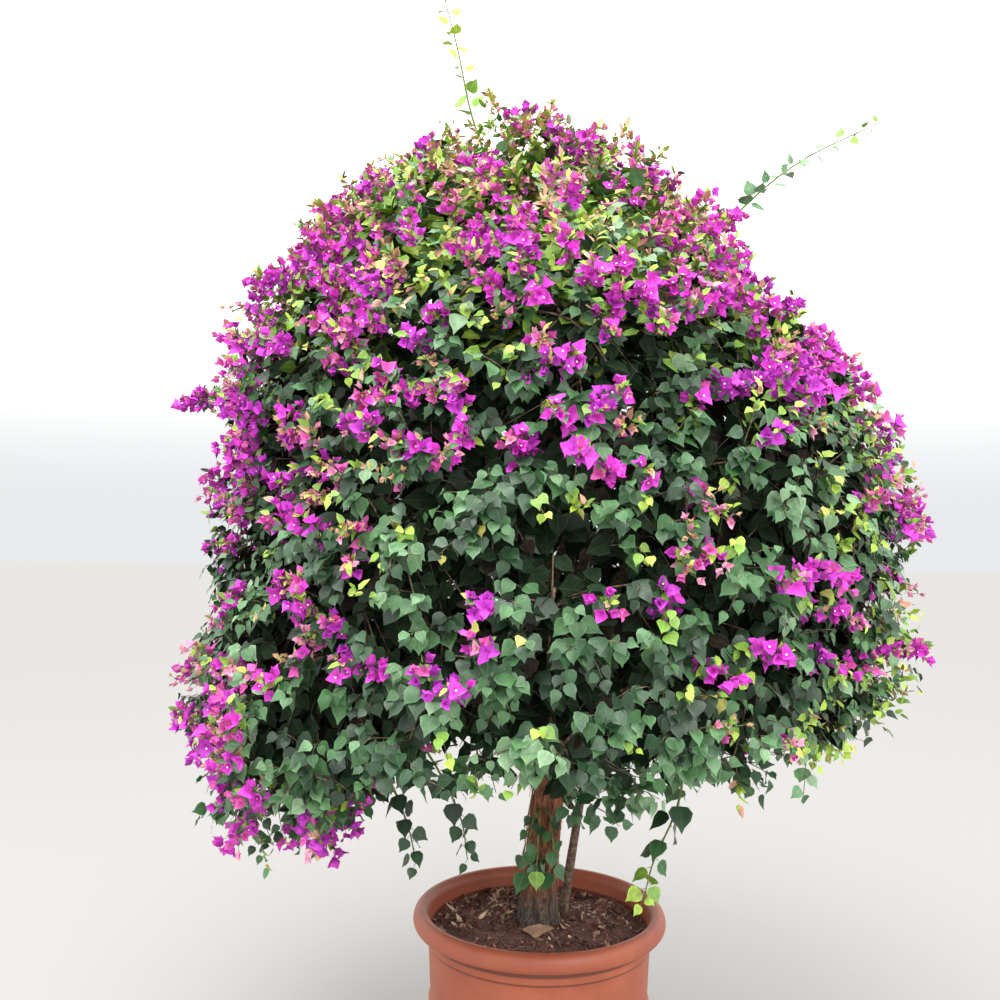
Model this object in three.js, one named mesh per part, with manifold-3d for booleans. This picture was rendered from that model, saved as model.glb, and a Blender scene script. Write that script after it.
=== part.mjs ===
// A bougainvillea trained as a round-headed bush, growing in a round planter pot filled with soil.
// Millimetres, +Z up. The origin is the middle of the pot's flat underside, and -Y is the bush's front.
// The crown is a thick shell of foliage masses round a hollow in which the boughs climb.
import * as THREE from "three";
import { mergeVertices } from "three/addons/utils/BufferGeometryUtils.js";
import Module from "manifold-3d";

const wasm = await Module();
wasm.setup();

const CLEAR = 0.3; // gap between pieces that touch

// Pot
const POT_HEIGHT = 525;
const POT_SIDES = 28;
const RIM_RADIUS = 350; // outside of the rolled rim
const RIM_DEPTH = 48;
const MOUTH_RADIUS = 305;
const NECK_RADIUS = 309; // body just under the rim
const RIM_BELLY = 18; // the rim is widest this far above its flat underside
const RIM_UNDERCUT = 48; // degrees below its widest where the rim's face meets that underside
const NECK_BAND = 42; // height of the thicker band under the rim
const NECK_STEP = 4;
const BASE_RADIUS = 287;
const FOOT_HEIGHT = 27;
const FOOT_STEP = 4;
const BEAD_HEIGHT = 278; // middle of the raised bead round the body
const BEAD_OUT = 6;
const BEAD_HALF = 8;
const POT_WALL = 8;
const POT_FLOOR = 12;

// Soil
const SOIL_HEIGHT = 474;
const SOIL_DIP = 9; // the soil's edge lies this much lower than its middle

// Trunk, and the thin second stem that stands behind it on the right
const TRUNK_FOOT = new THREE.Vector3(-4, 0, SOIL_HEIGHT + CLEAR);
const TRUNK_TOP = new THREE.Vector3(44, 14, 985);
const TRUNK_FOOT_RADIUS = 46;
const TRUNK_TOP_RADIUS = 42;
const TRUNK_HEAD = 0.72; // above this share the trunk swells into its fork
const FLARE = 0.3; // root flare at the soil, as a share of the radius
const FLARE_HEIGHT = 55;
const ROOT_LOBES = 0.45; // how much the flare is gathered into five roots
const FLUTES = 0.06; // depth of the three hollows that wind up the trunk and the boughs
const RIDGES = 0.04; // depth of the five ridges that run up from the roots
const HEAD_SWELL = 0.35; // how fast the trunk swells towards its fork
const SECOND_FOOT = new THREE.Vector3(72, 62, SOIL_HEIGHT - 2); // cut flat where it meets the soil
const SECOND_BEND = new THREE.Vector3(112, 84, 850); // it climbs towards this place, then leans out

// Boughs: how far each kind arches up on its way, and its radius at the parent and where it would reach the
// middle of its mass
const LEADER = { rise: 60, start: 36, end: 12 };
const BOUGH = { rise: 150, start: 27, end: 11 };
const LOW_BOUGH = { rise: 130, start: 16, end: 9 };
const HIGH_BOUGH = { rise: 170, start: 18, end: 9 };
const TOP_BOUGH = { rise: 120, start: 15, end: 8 };
const SECOND_STEM = { start: 13, end: 9 };
const ARCH_SHARE = 0.42; // how far along a limb its arch is highest
const LEADER_FORK = 0.9; // where the leader leaves the trunk, as a share of the trunk's length
const BOUGH_FORKS = [0.92, 0.8]; // boughs leave it at these two levels in turn
const LOW_FORKS = [0.4, 0.3]; // low boughs leave the boughs at these shares
const HIGH_FORK = 0.2; // high boughs leave the leader from here up, one step apart
const TOP_FORK = 0.52;
const FORK_STEP = 0.04;

// Crown
const CROWN_TOP = 2685;
const CROWN_WAIST = 1250; // height of the widest level
const CROWN_RADIUS = 950;
const DOME_BEND = 2.4; // how square the dome's shoulders are
const DOME_ROUND = 0.5;
const TUCK = 0.8e-6; // how fast the crown draws in below its widest level
const TOP_SLOPE = 0.9; // the leafy layer at the very top is this much shallower
const SWAY = 50; // the outline swings this far to each side on its way up
const SWAY_LENGTH = 1400;
const SWAY_FOOT = 1300;
const SKIRT_HEIGHT = 985; // the crown's lower edge
const SKIRT_WAVE = 28;
// It hangs lower at the left of the front, and is drawn up over the trunk and on the right.
const SKIRT_SWELLS = [
  { side: 212, width: 24, lift: -185 },
  { side: 257, width: 14, lift: 85 },
  { side: 350, width: 35, lift: 110 },
];
const SKIRT_SLOPE = 0.12; // the lower edge rises towards the trunk
const EDGE_SHARE = 0.6; // depth of the leafy layer at the lower edge, as a share of that on the sides
const SHOULDER_DIP = 110; // the dome's right shoulder lies this much further in
const DIP_HEIGHT = 2400;
const DIP_SPREAD = 380;
const HOLLOW_RADIUS = 480;
const HOLLOW_FOOT = 800;
const HOLLOW_RISE = 1120;
const VALLEY = 48; // depth of the folds between masses, which doubles towards the top
const CLEFT_HEIGHT = 2250;
const CLEFT_RISE = 250;
const VALLEY_WIDTH = 70;
const LEAF_ZONE = 75; // depth of the leafy layer over a mass's core
const CORE_GAP = 8; // between the cores of neighbouring masses
const ENTRY = 150; // a bough ends this far from the middle of its mass

// Rings of masses from the skirt to the head: height, how far out their middles lie, number, first angle
const RINGS = [
  { name: "skirt", height: 1195, out: 735, count: 7, turn: 219 },
  { name: "waist", height: 1590, out: 665, count: 6, turn: 240 },
  { name: "shoulder", height: 1975, out: 550, count: 5, turn: 270 },
  { name: "upper", height: 2290, out: 360, count: 3, turn: 335 },
  { name: "head", height: 2470, out: 70, count: 1, turn: 170 },
];

// Foliage, larger than life so that few leaves cover the crown
const LEAF_LENGTH = 138;
const LEAF_WIDTH = 100;
const LEAF_FOLD = 10;
const LEAF_THICK = 2.6;
const LEAF_BELLY = 0.4; // where along its length a leaf is widest
const BRACT_LENGTH = 88;
const BRACT_TIP = { out: 0.62, rise: 0.78 }; // places on a bract, as shares of its length
const BRACT_NOTCH = { out: 0.22, rise: 0.42 };
const BLOOM_FOOT = 900; // blossom grows denser from this height up
const BLOOM_RISE = 1500;
const LEAST_BLOOM = 0.15;
const MOST_BLOOM = 0.85;
const MOSTLY = 0.6; // above this share a mass is coloured as blossom
const TWIG_RADIUS = 7;
const TWIG_COVER = 32; // a twig ends this far under the crown's face
const TWIG_SPACING = 295;
const TWIG_TRIES = 110;
const FORK_DEPTH = 60; // twigs fork this far under the core's face
const FORK_REACH = 150;
const LEAF_STEP = 22; // from one leaf's root to the next along a twig
const HANG = 0.45; // how much leaves on the crown's sides droop
const LIMB_ROOM = 12; // leaves stay this far from the boughs

// Shoots that stand out of the crown or hang from it
const SHOOT_RADIUS = 6.5;

const up = new THREE.Vector3(0, 0, 1);
const point = (x, y, z) => new THREE.Vector3(x, y, z);
const polar = (radius, angle, z) => point(radius * Math.cos(angle), radius * Math.sin(angle), z);
const lerp = THREE.MathUtils.lerp;

// A repeatable stream of numbers from 0 to 1.
function stream(seed) {
  let state = seed;
  return () => {
    state = (state * 16807) % 2147483647;
    return state / 2147483647;
  };
}

// Solids and geometries

function solidOf(geometry) {
  const bare = geometry.index ? geometry.toNonIndexed() : geometry.clone();
  bare.deleteAttribute("normal");
  bare.deleteAttribute("uv");
  const merged = mergeVertices(bare, 1e-3);
  const vertProperties = merged.attributes.position.array;
  const triVerts = new Uint32Array(merged.index.array);
  const solid = new wasm.Manifold(new wasm.Mesh({ numProp: 3, vertProperties, triVerts }));
  if (solid.volume() > 0) return solid;
  const turned = triVerts.map((_, i) => triVerts[i - (i % 3) + 2 - (i % 3)]);
  return new wasm.Manifold(new wasm.Mesh({ numProp: 3, vertProperties, triVerts: turned }));
}

function geometryOf(solid) {
  const { numProp, numVert, vertProperties, triVerts } = solid.getMesh();
  const points = new Float32Array(numVert * 3);
  for (let i = 0; i < numVert; i++) {
    points.set(vertProperties.subarray(i * numProp, i * numProp + 3), i * 3);
  }
  const geometry = new THREE.BufferGeometry();
  geometry.setAttribute("position", new THREE.BufferAttribute(points, 3));
  geometry.setIndex(new THREE.BufferAttribute(new Uint32Array(triVerts), 1));
  geometry.computeVertexNormals();
  return geometry;
}

const union = (solids) => solids.reduce((all, one) => all.add(one));
const cutBy = (solid, others) => others.reduce((left, other) => left.subtract(other), solid);

// The largest body of a solid, without the scraps that a cut leaves and with sealed hollows filled.
function mainBody(solid) {
  return solid.decompose().reduce((best, body) => (body.volume() > best.volume() ? body : best));
}

function faceted(points, faces) {
  const geometry = new THREE.BufferGeometry();
  geometry.setAttribute("position", new THREE.Float32BufferAttribute(points.flatMap((p) => p.toArray()), 3));
  geometry.setIndex(faces.flat());
  return solidOf(geometry);
}

function turned(profile) {
  const points = profile.map(([radius, z]) => new THREE.Vector2(radius, z));
  return solidOf(new THREE.LatheGeometry(points, POT_SIDES).rotateX(Math.PI / 2));
}

// A closed limb along a curve, from share `from` to share `to`, with radiusAt(share, angle) and flat ends.
// grow widens it all round and lengthens both ends.
function limbSolid(curve, radiusAt, { from = 0, to = 1, rings = 4, sides = 6, grow = 0 }) {
  const points = [];
  const faces = [];
  const side = point(1, 0, 0);
  for (let i = 0; i <= rings; i++) {
    const share = lerp(from, to, i / rings);
    const along = curve.getTangent(share);
    const middle = curve.getPoint(share);
    if (i === 0) middle.addScaledVector(along, -grow);
    if (i === rings) middle.addScaledVector(along, grow);
    side.addScaledVector(along, -side.dot(along)).normalize();
    const across = new THREE.Vector3().crossVectors(along, side);
    for (let k = 0; k < sides; k++) {
      const angle = (2 * Math.PI * k) / sides;
      const radius = radiusAt(share, angle) + grow;
      const out = side.clone().multiplyScalar(radius * Math.cos(angle));
      points.push(out.addScaledVector(across, radius * Math.sin(angle)).add(middle));
      if (i === 0) continue;
      const next = (k + 1) % sides;
      const below = (i - 1) * sides;
      const here = i * sides;
      faces.push([below + k, below + next, here + next], [below + k, here + next, here + k]);
    }
  }
  const last = rings * sides;
  for (let k = 1; k < sides - 1; k++) faces.push([0, k + 1, k], [last, last + k, last + k + 1]);
  return faceted(points, faces);
}

// Pot and soil

const potRadius = (z) => lerp(BASE_RADIUS, NECK_RADIUS, z / (POT_HEIGHT - RIM_DEPTH));

function potSolid() {
  const lip = POT_HEIGHT - RIM_DEPTH; // height of the rim's underside
  const band = lip - NECK_BAND;
  const foot = [
    [0, 0],
    [BASE_RADIUS + FOOT_STEP - 4, 0],
    [BASE_RADIUS + FOOT_STEP, 5],
    [BASE_RADIUS + FOOT_STEP + 1, FOOT_HEIGHT - 3],
    [potRadius(FOOT_HEIGHT), FOOT_HEIGHT],
  ];
  const bead = [-1, 0, 1].map((share) => {
    const z = BEAD_HEIGHT + share * BEAD_HALF;
    return [potRadius(z) + BEAD_OUT * (1 - Math.abs(share)), z];
  });
  const neck = [
    [potRadius(band), band],
    [potRadius(band) + NECK_STEP, band + 2],
    [NECK_RADIUS + NECK_STEP, lip],
  ];
  const rimWidth = RIM_RADIUS - MOUTH_RADIUS;
  const rimFoot = RIM_BELLY / Math.sin(THREE.MathUtils.degToRad(RIM_UNDERCUT));
  const rim = [-RIM_UNDERCUT, -10, 30, 75, 120, 170].map((degrees) => {
    const angle = THREE.MathUtils.degToRad(degrees);
    const radius = MOUTH_RADIUS + (rimWidth / 2) * (1 + Math.cos(angle));
    const rise = degrees < 0 ? rimFoot : RIM_DEPTH - RIM_BELLY;
    return [radius, lip + RIM_BELLY + rise * Math.sin(angle)];
  });
  const inside = [
    [NECK_RADIUS - POT_WALL, lip],
    [BASE_RADIUS - POT_WALL, POT_FLOOR],
    [0, POT_FLOOR],
  ];
  return turned([...foot, ...bead, ...neck, ...rim, ...inside]);
}

function soilSolid() {
  const foot = POT_FLOOR + CLEAR;
  const edge = SOIL_HEIGHT - SOIL_DIP;
  const wall = (z) => potRadius(z) - POT_WALL - 3 * CLEAR;
  return turned([
    [0, foot],
    [wall(0), foot],
    [wall(edge), edge],
    [wall(edge) * 0.8, SOIL_HEIGHT - SOIL_DIP / 3],
    [wall(edge) * 0.55, SOIL_HEIGHT],
    [0, SOIL_HEIGHT],
  ]);
}

// The crown's outline: its radius, its sideways sway and its lower edge

function crownRadius(z) {
  if (z < CROWN_WAIST) return CROWN_RADIUS * (1 - TUCK * (CROWN_WAIST - z) ** 2);
  const share = Math.min(1, (z - CROWN_WAIST) / (CROWN_TOP - CROWN_WAIST));
  return CROWN_RADIUS * (1 - share ** DOME_BEND) ** DOME_ROUND;
}

const crownSway = (z) => SWAY * Math.sin((2 * Math.PI * (z - SWAY_FOOT)) / SWAY_LENGTH);

function skirtHeight(angle) {
  const wave = SKIRT_HEIGHT + SKIRT_WAVE * Math.sin(5 * angle);
  return SKIRT_SWELLS.reduce((height, { side, width, lift }) => {
    const off = THREE.MathUtils.euclideanModulo(THREE.MathUtils.radToDeg(angle) - side + 180, 360) - 180;
    return height + lift * Math.exp(-((off / width) ** 2));
  }, wave);
}

// How far a place lies under the crown's outer face, and how far outside its hollow. Below 0 it is past them.
function depthInShell(place) {
  const x = place.x - crownSway(place.z);
  const radius = Math.hypot(x, place.y);
  const right = Math.max(0, x / Math.max(radius, 1)) ** 2;
  const dip = right * Math.exp(-(((place.z - DIP_HEIGHT) / DIP_SPREAD) ** 2));
  const side = crownRadius(place.z) - SHOULDER_DIP * dip - radius;
  const top = TOP_SLOPE * (CROWN_TOP - place.z);
  const edge = skirtHeight(Math.atan2(place.y, x)) + SKIRT_SLOPE * (CROWN_RADIUS - radius);
  const hollow = Math.hypot(radius / HOLLOW_RADIUS, Math.max(0, place.z - HOLLOW_FOOT) / HOLLOW_RISE);
  const lower = (place.z - edge) / EDGE_SHARE;
  return { outer: Math.min(side, top, lower), inner: (hollow - 1) * HOLLOW_RADIUS };
}

// Masses: each keeps to the part of the shell that is nearest to its own middle

function massesOf(rings) {
  const masses = [];
  for (const ring of rings) {
    for (let i = 0; i < ring.count; i++) {
      const angle = THREE.MathUtils.degToRad(ring.turn) + (2 * Math.PI * i) / ring.count;
      const drop = ring.name === "skirt" ? (SKIRT_HEIGHT - skirtHeight(angle)) / 2 : 0;
      const middle = polar(ring.out, angle, ring.height - drop);
      middle.x += crownSway(middle.z);
      const name = ring.count > 1 ? `${ring.name}_mass_${i + 1}` : `${ring.name}_mass`;
      masses.push({ name, ring: ring.name, index: i, angle, middle, seed: 1009 + 97 * masses.length });
    }
  }
  return masses;
}

const masses = massesOf(RINGS);
const ringOf = (name) => masses.filter((mass) => mass.ring === name);

// Distance from a place to the nearest plane halfway to another mass's middle.
function distanceToNeighbour(mass, place) {
  let least = Infinity;
  for (const other of masses) {
    if (other === mass) continue;
    const between = other.middle.clone().sub(mass.middle);
    const gap = between.length();
    least = Math.min(least, gap / 2 - place.clone().sub(mass.middle).dot(between) / gap);
  }
  return least;
}

// Whether a place lies inside the mass's space, `cover` under its outer face and `margin` from its sides.
function inSpace(mass, place, cover, margin) {
  const neighbour = distanceToNeighbour(mass, place);
  if (neighbour < margin) return false;
  const depth = depthInShell(place);
  const cleft = 1 + THREE.MathUtils.clamp((place.z - CLEFT_HEIGHT) / CLEFT_RISE, 0, 1);
  const valley = VALLEY * cleft * Math.exp(-((neighbour / VALLEY_WIDTH) ** 2));
  return depth.outer - valley > cover && depth.inner > margin;
}

// How far a ray from the mass's middle runs before it leaves that space.
function reachAlong(mass, direction, cover, margin) {
  const step = 10;
  let reach = 0;
  while (inSpace(mass, mass.middle.clone().addScaledVector(direction, reach + step), cover, margin)) {
    reach += step;
  }
  return Math.max(reach, step);
}

function coreSolid(mass) {
  const ball = new THREE.IcosahedronGeometry(1, 1);
  const at = ball.attributes.position;
  for (let i = 0; i < at.count; i++) {
    const direction = new THREE.Vector3().fromBufferAttribute(at, i).normalize();
    const reach = reachAlong(mass, direction, LEAF_ZONE, CORE_GAP / 2);
    const place = direction.multiplyScalar(reach).add(mass.middle);
    at.setXYZ(i, place.x, place.y, place.z);
  }
  return solidOf(ball);
}

// Limbs: each runs along one curve from its parent to the middle of a mass. The bough is its first part, to
// ENTRY short of the middle, and the rest is the mass's own stem.

function limb(name, from, bend, mass, { start, end }) {
  const curve = new THREE.QuadraticBezierCurve3(from, bend, mass.middle);
  const tip = curve.getUtoTmapping(0, curve.getLength() - ENTRY);
  const radiusAt = (share, angle) => lerp(start, end, share) * (1 + FLUTES * Math.cos(3 * angle + 9 * share));
  return { name, mass, curve, tip, radiusAt };
}

// A limb that leaves its parent at `from` and arches up on its way.
function archedLimb(name, from, mass, shape) {
  const bend = from.clone().lerp(mass.middle, ARCH_SHARE).addScaledVector(up, shape.rise);
  return limb(name, from, bend, mass, shape);
}

const trunkBend = point(TRUNK_FOOT.x, TRUNK_FOOT.y, lerp(TRUNK_FOOT.z, TRUNK_TOP.z, 0.4));
const trunkLine = new THREE.QuadraticBezierCurve3(TRUNK_FOOT, trunkBend, TRUNK_TOP);

function trunkRadius(share, angle) {
  const height = share * (TRUNK_TOP.z - TRUNK_FOOT.z);
  const roots = Math.cos(5 * angle + 1);
  const flare = FLARE * Math.exp(-height / FLARE_HEIGHT) * (1 + ROOT_LOBES * roots);
  const fluted = 1 + FLUTES * Math.cos(3 * angle + 4 * share) + RIDGES * roots;
  const head = 1 + HEAD_SWELL * Math.max(0, share - TRUNK_HEAD);
  return lerp(TRUNK_FOOT_RADIUS, TRUNK_TOP_RADIUS, share) * fluted * head * (1 + flare);
}

function limbsOf() {
  const leader = archedLimb("leader", trunkLine.getPoint(LEADER_FORK), ringOf("head")[0], LEADER);
  const boughs = ringOf("waist").map((mass, i) => {
    return archedLimb(`bough_${i + 1}`, trunkLine.getPoint(BOUGH_FORKS[i % 2]), mass, BOUGH);
  });
  const nearest = (angle, choices) => {
    const match = (choice) => Math.cos(choice.angle - angle);
    return choices.reduce((best, choice) => (match(choice) > match(best) ? choice : best));
  };
  const carried = nearest(Math.atan2(SECOND_FOOT.y, SECOND_FOOT.x), ringOf("skirt"));
  const second = limb("second_stem", SECOND_FOOT, SECOND_BEND, carried, SECOND_STEM);
  const others = ringOf("skirt").filter((mass) => mass !== carried);
  const low = others.map((mass, i) => {
    const parent = boughs[nearest(mass.angle, ringOf("waist")).index];
    const from = parent.curve.getPoint(LOW_FORKS[mass.index % 2]);
    return archedLimb(`low_bough_${i + 1}`, from, mass, LOW_BOUGH);
  });
  const high = ringOf("shoulder").map((mass, i) => {
    const from = leader.curve.getPoint(HIGH_FORK + FORK_STEP * i);
    return archedLimb(`high_bough_${i + 1}`, from, mass, HIGH_BOUGH);
  });
  const top = ringOf("upper").map((mass, i) => {
    const from = leader.curve.getPoint(TOP_FORK + FORK_STEP * i);
    return archedLimb(`top_bough_${i + 1}`, from, mass, TOP_BOUGH);
  });
  return [leader, second, ...boughs, ...low, ...high, ...top];
}

const limbs = limbsOf();

// Whether a place keeps off every limb's bark.
function offLimbs(place) {
  return limbs.every((one) => {
    for (let i = 0; i <= 12; i++) {
      const share = (one.tip * i) / 12;
      const room = one.radiusAt(share, 0) + LIMB_ROOM;
      if (one.curve.getPoint(share).distanceTo(place) < room) return false;
    }
    return true;
  });
}

// Leaves and blossom

// The points of a leaf: a thin folded blade with its root at `root`, running along `along`.
function leafPoints(root, along, facing, length, width) {
  const y = along.clone().normalize();
  const z = facing.clone().addScaledVector(y, -facing.dot(y)).normalize();
  const x = new THREE.Vector3().crossVectors(y, z);
  const place = (a, b, c) => root.clone().addScaledVector(x, a).addScaledVector(y, b).addScaledVector(z, c);
  const belly = LEAF_BELLY * length;
  return [
    root.clone(),
    place(width / 2, belly, 0),
    place(0, length, -0.1 * length),
    place(-width / 2, belly, 0),
    place(0, belly, (LEAF_THICK - LEAF_FOLD) / 2),
    place(0, belly, (-LEAF_THICK - LEAF_FOLD) / 2),
  ];
}

const LEAF_FACES = [0, 1, 2, 3].flatMap((i) => {
  const next = (i + 1) % 4;
  return [
    [i, next, 4],
    [next, i, 5],
  ];
});

// Three bracts round the end of a twig, as one star of twelve faces.
function blossomPoints(end, direction, turn, length) {
  const side = new THREE.Vector3().crossVectors(direction, point(0.3, 1, 0.2)).normalize();
  const star = [end.clone().addScaledVector(direction, -7), end.clone().addScaledVector(direction, 9)];
  for (let i = 0; i < 6; i++) {
    const round = side.clone().applyAxisAngle(direction, turn + (i * Math.PI) / 3);
    const { out, rise } = i % 2 ? BRACT_NOTCH : BRACT_TIP;
    star.push(end.clone().addScaledVector(round, out * length).addScaledVector(direction, rise * length));
  }
  return star;
}

const BLOSSOM_FACES = [0, 1, 2, 3, 4, 5].flatMap((i) => {
  const here = 2 + i;
  const next = 2 + ((i + 1) % 6);
  return [
    [1, here, next],
    [0, next, here],
  ];
});

// A three-sided twig that tapers to half.
function twigSolid(from, end) {
  const line = new THREE.LineCurve3(from, end);
  return limbSolid(line, (share) => lerp(TWIG_RADIUS, TWIG_RADIUS / 2, share), { rings: 1, sides: 3 });
}

// Leaves round the end of a twig, drooping on the crown's sides, and a blossom at its tip where it flowers.
function rosette(end, direction, random, flowers) {
  const side = new THREE.Vector3().crossVectors(direction, point(0.3, 1, 0.2)).normalize();
  const turn = 2 * Math.PI * random();
  const droop = HANG * (1 - Math.abs(direction.z));
  const blades = [];
  for (let i = flowers ? 1 : 0; i < 3; i++) {
    const along = side.clone().applyAxisAngle(direction, turn + (2 * Math.PI * (i + 0.3 * random())) / 3);
    along.addScaledVector(direction, 0.2 + 0.3 * random()).addScaledVector(up, -droop).normalize();
    const size = 0.85 + 0.3 * random();
    const root = end.clone().addScaledVector(direction, -LEAF_STEP * (i + 0.4));
    blades.push([leafPoints(root, along, direction, LEAF_LENGTH * size, LEAF_WIDTH * size), LEAF_FACES]);
  }
  if (flowers) blades.push([blossomPoints(end, direction, turn, BRACT_LENGTH), BLOSSOM_FACES]);
  return blades;
}

// Directions spread evenly over a ball.
function evenDirections(count) {
  const golden = Math.PI * (3 - Math.sqrt(5));
  return Array.from({ length: count }, (_, i) => {
    const z = 1 - (2 * i + 1) / count;
    return polar(Math.sqrt(1 - z * z), golden * i, z);
  });
}

// The share of twigs that flower: many at the head, few at the skirt.
const bloomShare = (z) => THREE.MathUtils.clamp((z - BLOOM_FOOT) / BLOOM_RISE, LEAST_BLOOM, MOST_BLOOM);

// The twigs of a mass: main ones from its middle to the crown's face, each with a side twig that forks off.
function twigsOf(mass, random) {
  const twigs = [];
  const main = [];
  for (const direction of evenDirections(TWIG_TRIES)) {
    const reach = reachAlong(mass, direction, TWIG_COVER, CORE_GAP);
    const end = direction.clone().multiplyScalar(reach).add(mass.middle);
    const onFace = depthInShell(end).outer < LEAF_ZONE;
    if (!onFace || main.some((other) => other.distanceTo(end) < TWIG_SPACING)) continue;
    main.push(end);
    twigs.push({ from: mass.middle, end, direction });
    const fork = end.clone().addScaledVector(direction, -LEAF_ZONE - FORK_DEPTH);
    const side = new THREE.Vector3().crossVectors(direction, up).normalize();
    side.applyAxisAngle(direction, 2 * Math.PI * random());
    const sideEnd = end.clone().addScaledVector(side, FORK_REACH);
    if (!inSpace(mass, sideEnd, TWIG_COVER / 2, CORE_GAP)) continue;
    twigs.push({ from: fork, end: sideEnd, direction: sideEnd.clone().sub(fork).normalize() });
  }
  return twigs;
}

function foliageOf(mass) {
  const random = stream(mass.seed);
  const keepsIn = (place) => distanceToNeighbour(mass, place) > CORE_GAP / 2 && offLimbs(place);
  const pieces = [];
  for (const { from, end, direction } of twigsOf(mass, random)) {
    const blades = rosette(end, direction, random, random() < bloomShare(end.z));
    const kept = blades.filter(([points]) => points.every(keepsIn));
    pieces.push(twigSolid(from, end), ...kept.map(([points, faces]) => faceted(points, faces)));
  }
  return pieces;
}

// Shoots: a thin whip along a curve with leaves set round it, and blossom at its end where it flowers

const SHOOTS = [
  {
    name: "leader_shoot",
    path: [point(-150, 0, 2560), point(-215, -5, 2740), point(-255, -8, 2920), point(-300, 0, 3090)],
    leaves: 6,
    size: 76,
  },
  {
    name: "arching_shoot",
    path: [point(420, -20, 2330), point(560, -20, 2490), point(720, -15, 2620), point(945, 0, 2735)],
    leaves: 6,
    size: 66,
  },
  {
    name: "left_shoot",
    path: [point(-430, -20, 2260), point(-540, -30, 2370), point(-625, -30, 2440)],
    leaves: 3,
    size: 66,
    blossoms: 3,
  },
  {
    name: "left_low_shoot",
    path: [point(-600, -120, 1895), point(-770, -95, 1940), point(-880, -70, 1938), point(-965, -60, 1915)],
    leaves: 3,
    size: 66,
    blossoms: 3,
  },
  {
    name: "hanging_sprig",
    path: [point(330, -430, 1130), point(320, -400, 930), point(262, -375, 770), point(240, -365, 670)],
    leaves: 6,
    size: 76,
    hang: 0.5,
  },
  {
    name: "shaded_sprig_1",
    path: [point(-431, -388, 1060), point(-375, -345, 930), point(-338, -318, 820), point(-324, -300, 735)],
    leaves: 4,
    size: 70,
    hang: 0.7,
  },
  {
    name: "shaded_sprig_2",
    path: [point(-333, -475, 1120), point(-265, -370, 985), point(-212, -285, 845), point(-195, -250, 730)],
    leaves: 4,
    size: 70,
    hang: 0.7,
  },
];

const TRUNK_SPRIG = {
  name: "trunk_sprig",
  path: [point(0, -20, 800), point(-6, -72, 790), point(-10, -106, 700), point(-14, -104, 620)],
  leaves: 6,
  size: 62,
  hang: 0.8,
};

const shootCurve = (shoot) => new THREE.CatmullRomCurve3(shoot.path);
const shootRadius = (share) => lerp(SHOOT_RADIUS, SHOOT_RADIUS / 3, share);

function whipSolid(shoot, grow = 0) {
  return limbSolid(shootCurve(shoot), shootRadius, { rings: 5, sides: 3, grow });
}

function shootSolid(shoot, seed) {
  const random = stream(seed);
  const curve = shootCurve(shoot);
  const pieces = [whipSolid(shoot)];
  for (let i = 0; i < shoot.leaves; i++) {
    const share = lerp(0.35, 0.97, (i + 0.5) / shoot.leaves);
    const along = curve.getTangent(share);
    const side = new THREE.Vector3().crossVectors(along, point(0, 1, 0)).normalize();
    const round = side.applyAxisAngle(along, 2.4 * i + 0.4 * random());
    const way = round.addScaledVector(along, 0.7).addScaledVector(up, -(shoot.hang ?? 0)).normalize();
    const length = shoot.size * (0.85 + 0.3 * random());
    pieces.push(faceted(leafPoints(curve.getPoint(share), way, along, length, 0.72 * length), LEAF_FACES));
  }
  for (let i = 0; i < (shoot.blossoms ?? 0); i++) {
    const share = 1 - 0.13 * i;
    const along = curve.getTangent(share);
    const way = along.clone().applyAxisAngle(point(0, 1, 0), i === 0 ? 0 : i % 2 ? 1.1 : -1.1);
    pieces.push(faceted(blossomPoints(curve.getPoint(share), way, i, 0.8 * BRACT_LENGTH), BLOSSOM_FACES));
  }
  return union(pieces);
}

// Assembly

const material = (color, roughness) => new THREE.MeshStandardMaterial({ color, roughness, metalness: 0 });
const terracotta = material(0xb8664a, 0.5);
const earth = material(0x3a2a22, 0.95);
const bark = material(0x6b4c38, 0.9);
const foliage = material(0x3f6b3d, 0.7);
const blooming = material(0x7a4a78, 0.7); // masses that are mostly blossom

const bush = new THREE.Group();

function addNode(name, solid, finish) {
  const mesh = new THREE.Mesh(geometryOf(mainBody(solid)), finish);
  mesh.name = name;
  bush.add(mesh);
}

addNode("pot", potSolid(), terracotta);
addNode("soil", soilSolid(), earth);

const trunkShape = { rings: 9, sides: 12 };
addNode("trunk", limbSolid(trunkLine, trunkRadius, trunkShape), bark);

// Each limb is cut clear of the trunk, the soil and the limbs before it.
const trunkRoom = limbSolid(trunkLine, trunkRadius, { ...trunkShape, grow: CLEAR });
const grown = [trunkRoom, soilSolid().translate([0, 0, CLEAR])];
for (const one of limbs) {
  const solid = limbSolid(one.curve, one.radiusAt, { to: one.tip });
  addNode(one.name, cutBy(solid, grown), bark);
  grown.push(limbSolid(one.curve, one.radiusAt, { to: one.tip, grow: CLEAR }));
}

const inTheWay = union([...grown, ...SHOOTS.map((shoot) => whipSolid(shoot, CLEAR))]);
const massSolids = masses.map((mass) => {
  const own = limbs.find((one) => one.mass === mass);
  const stem = limbSolid(own.curve, own.radiusAt, { from: own.tip, to: 1, rings: 1 });
  return mainBody(union([coreSolid(mass), stem, ...foliageOf(mass)]).subtract(inTheWay));
});
masses.forEach((mass, i) => {
  addNode(mass.name, massSolids[i], bloomShare(mass.middle.z) > MOSTLY ? blooming : foliage);
});

SHOOTS.forEach((shoot, i) => {
  addNode(shoot.name, cutBy(shootSolid(shoot, 31 + i), massSolids), foliage);
});
addNode(TRUNK_SPRIG.name, cutBy(shootSolid(TRUNK_SPRIG, 47), [trunkRoom, ...massSolids]), foliage);

export default bush;
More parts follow.
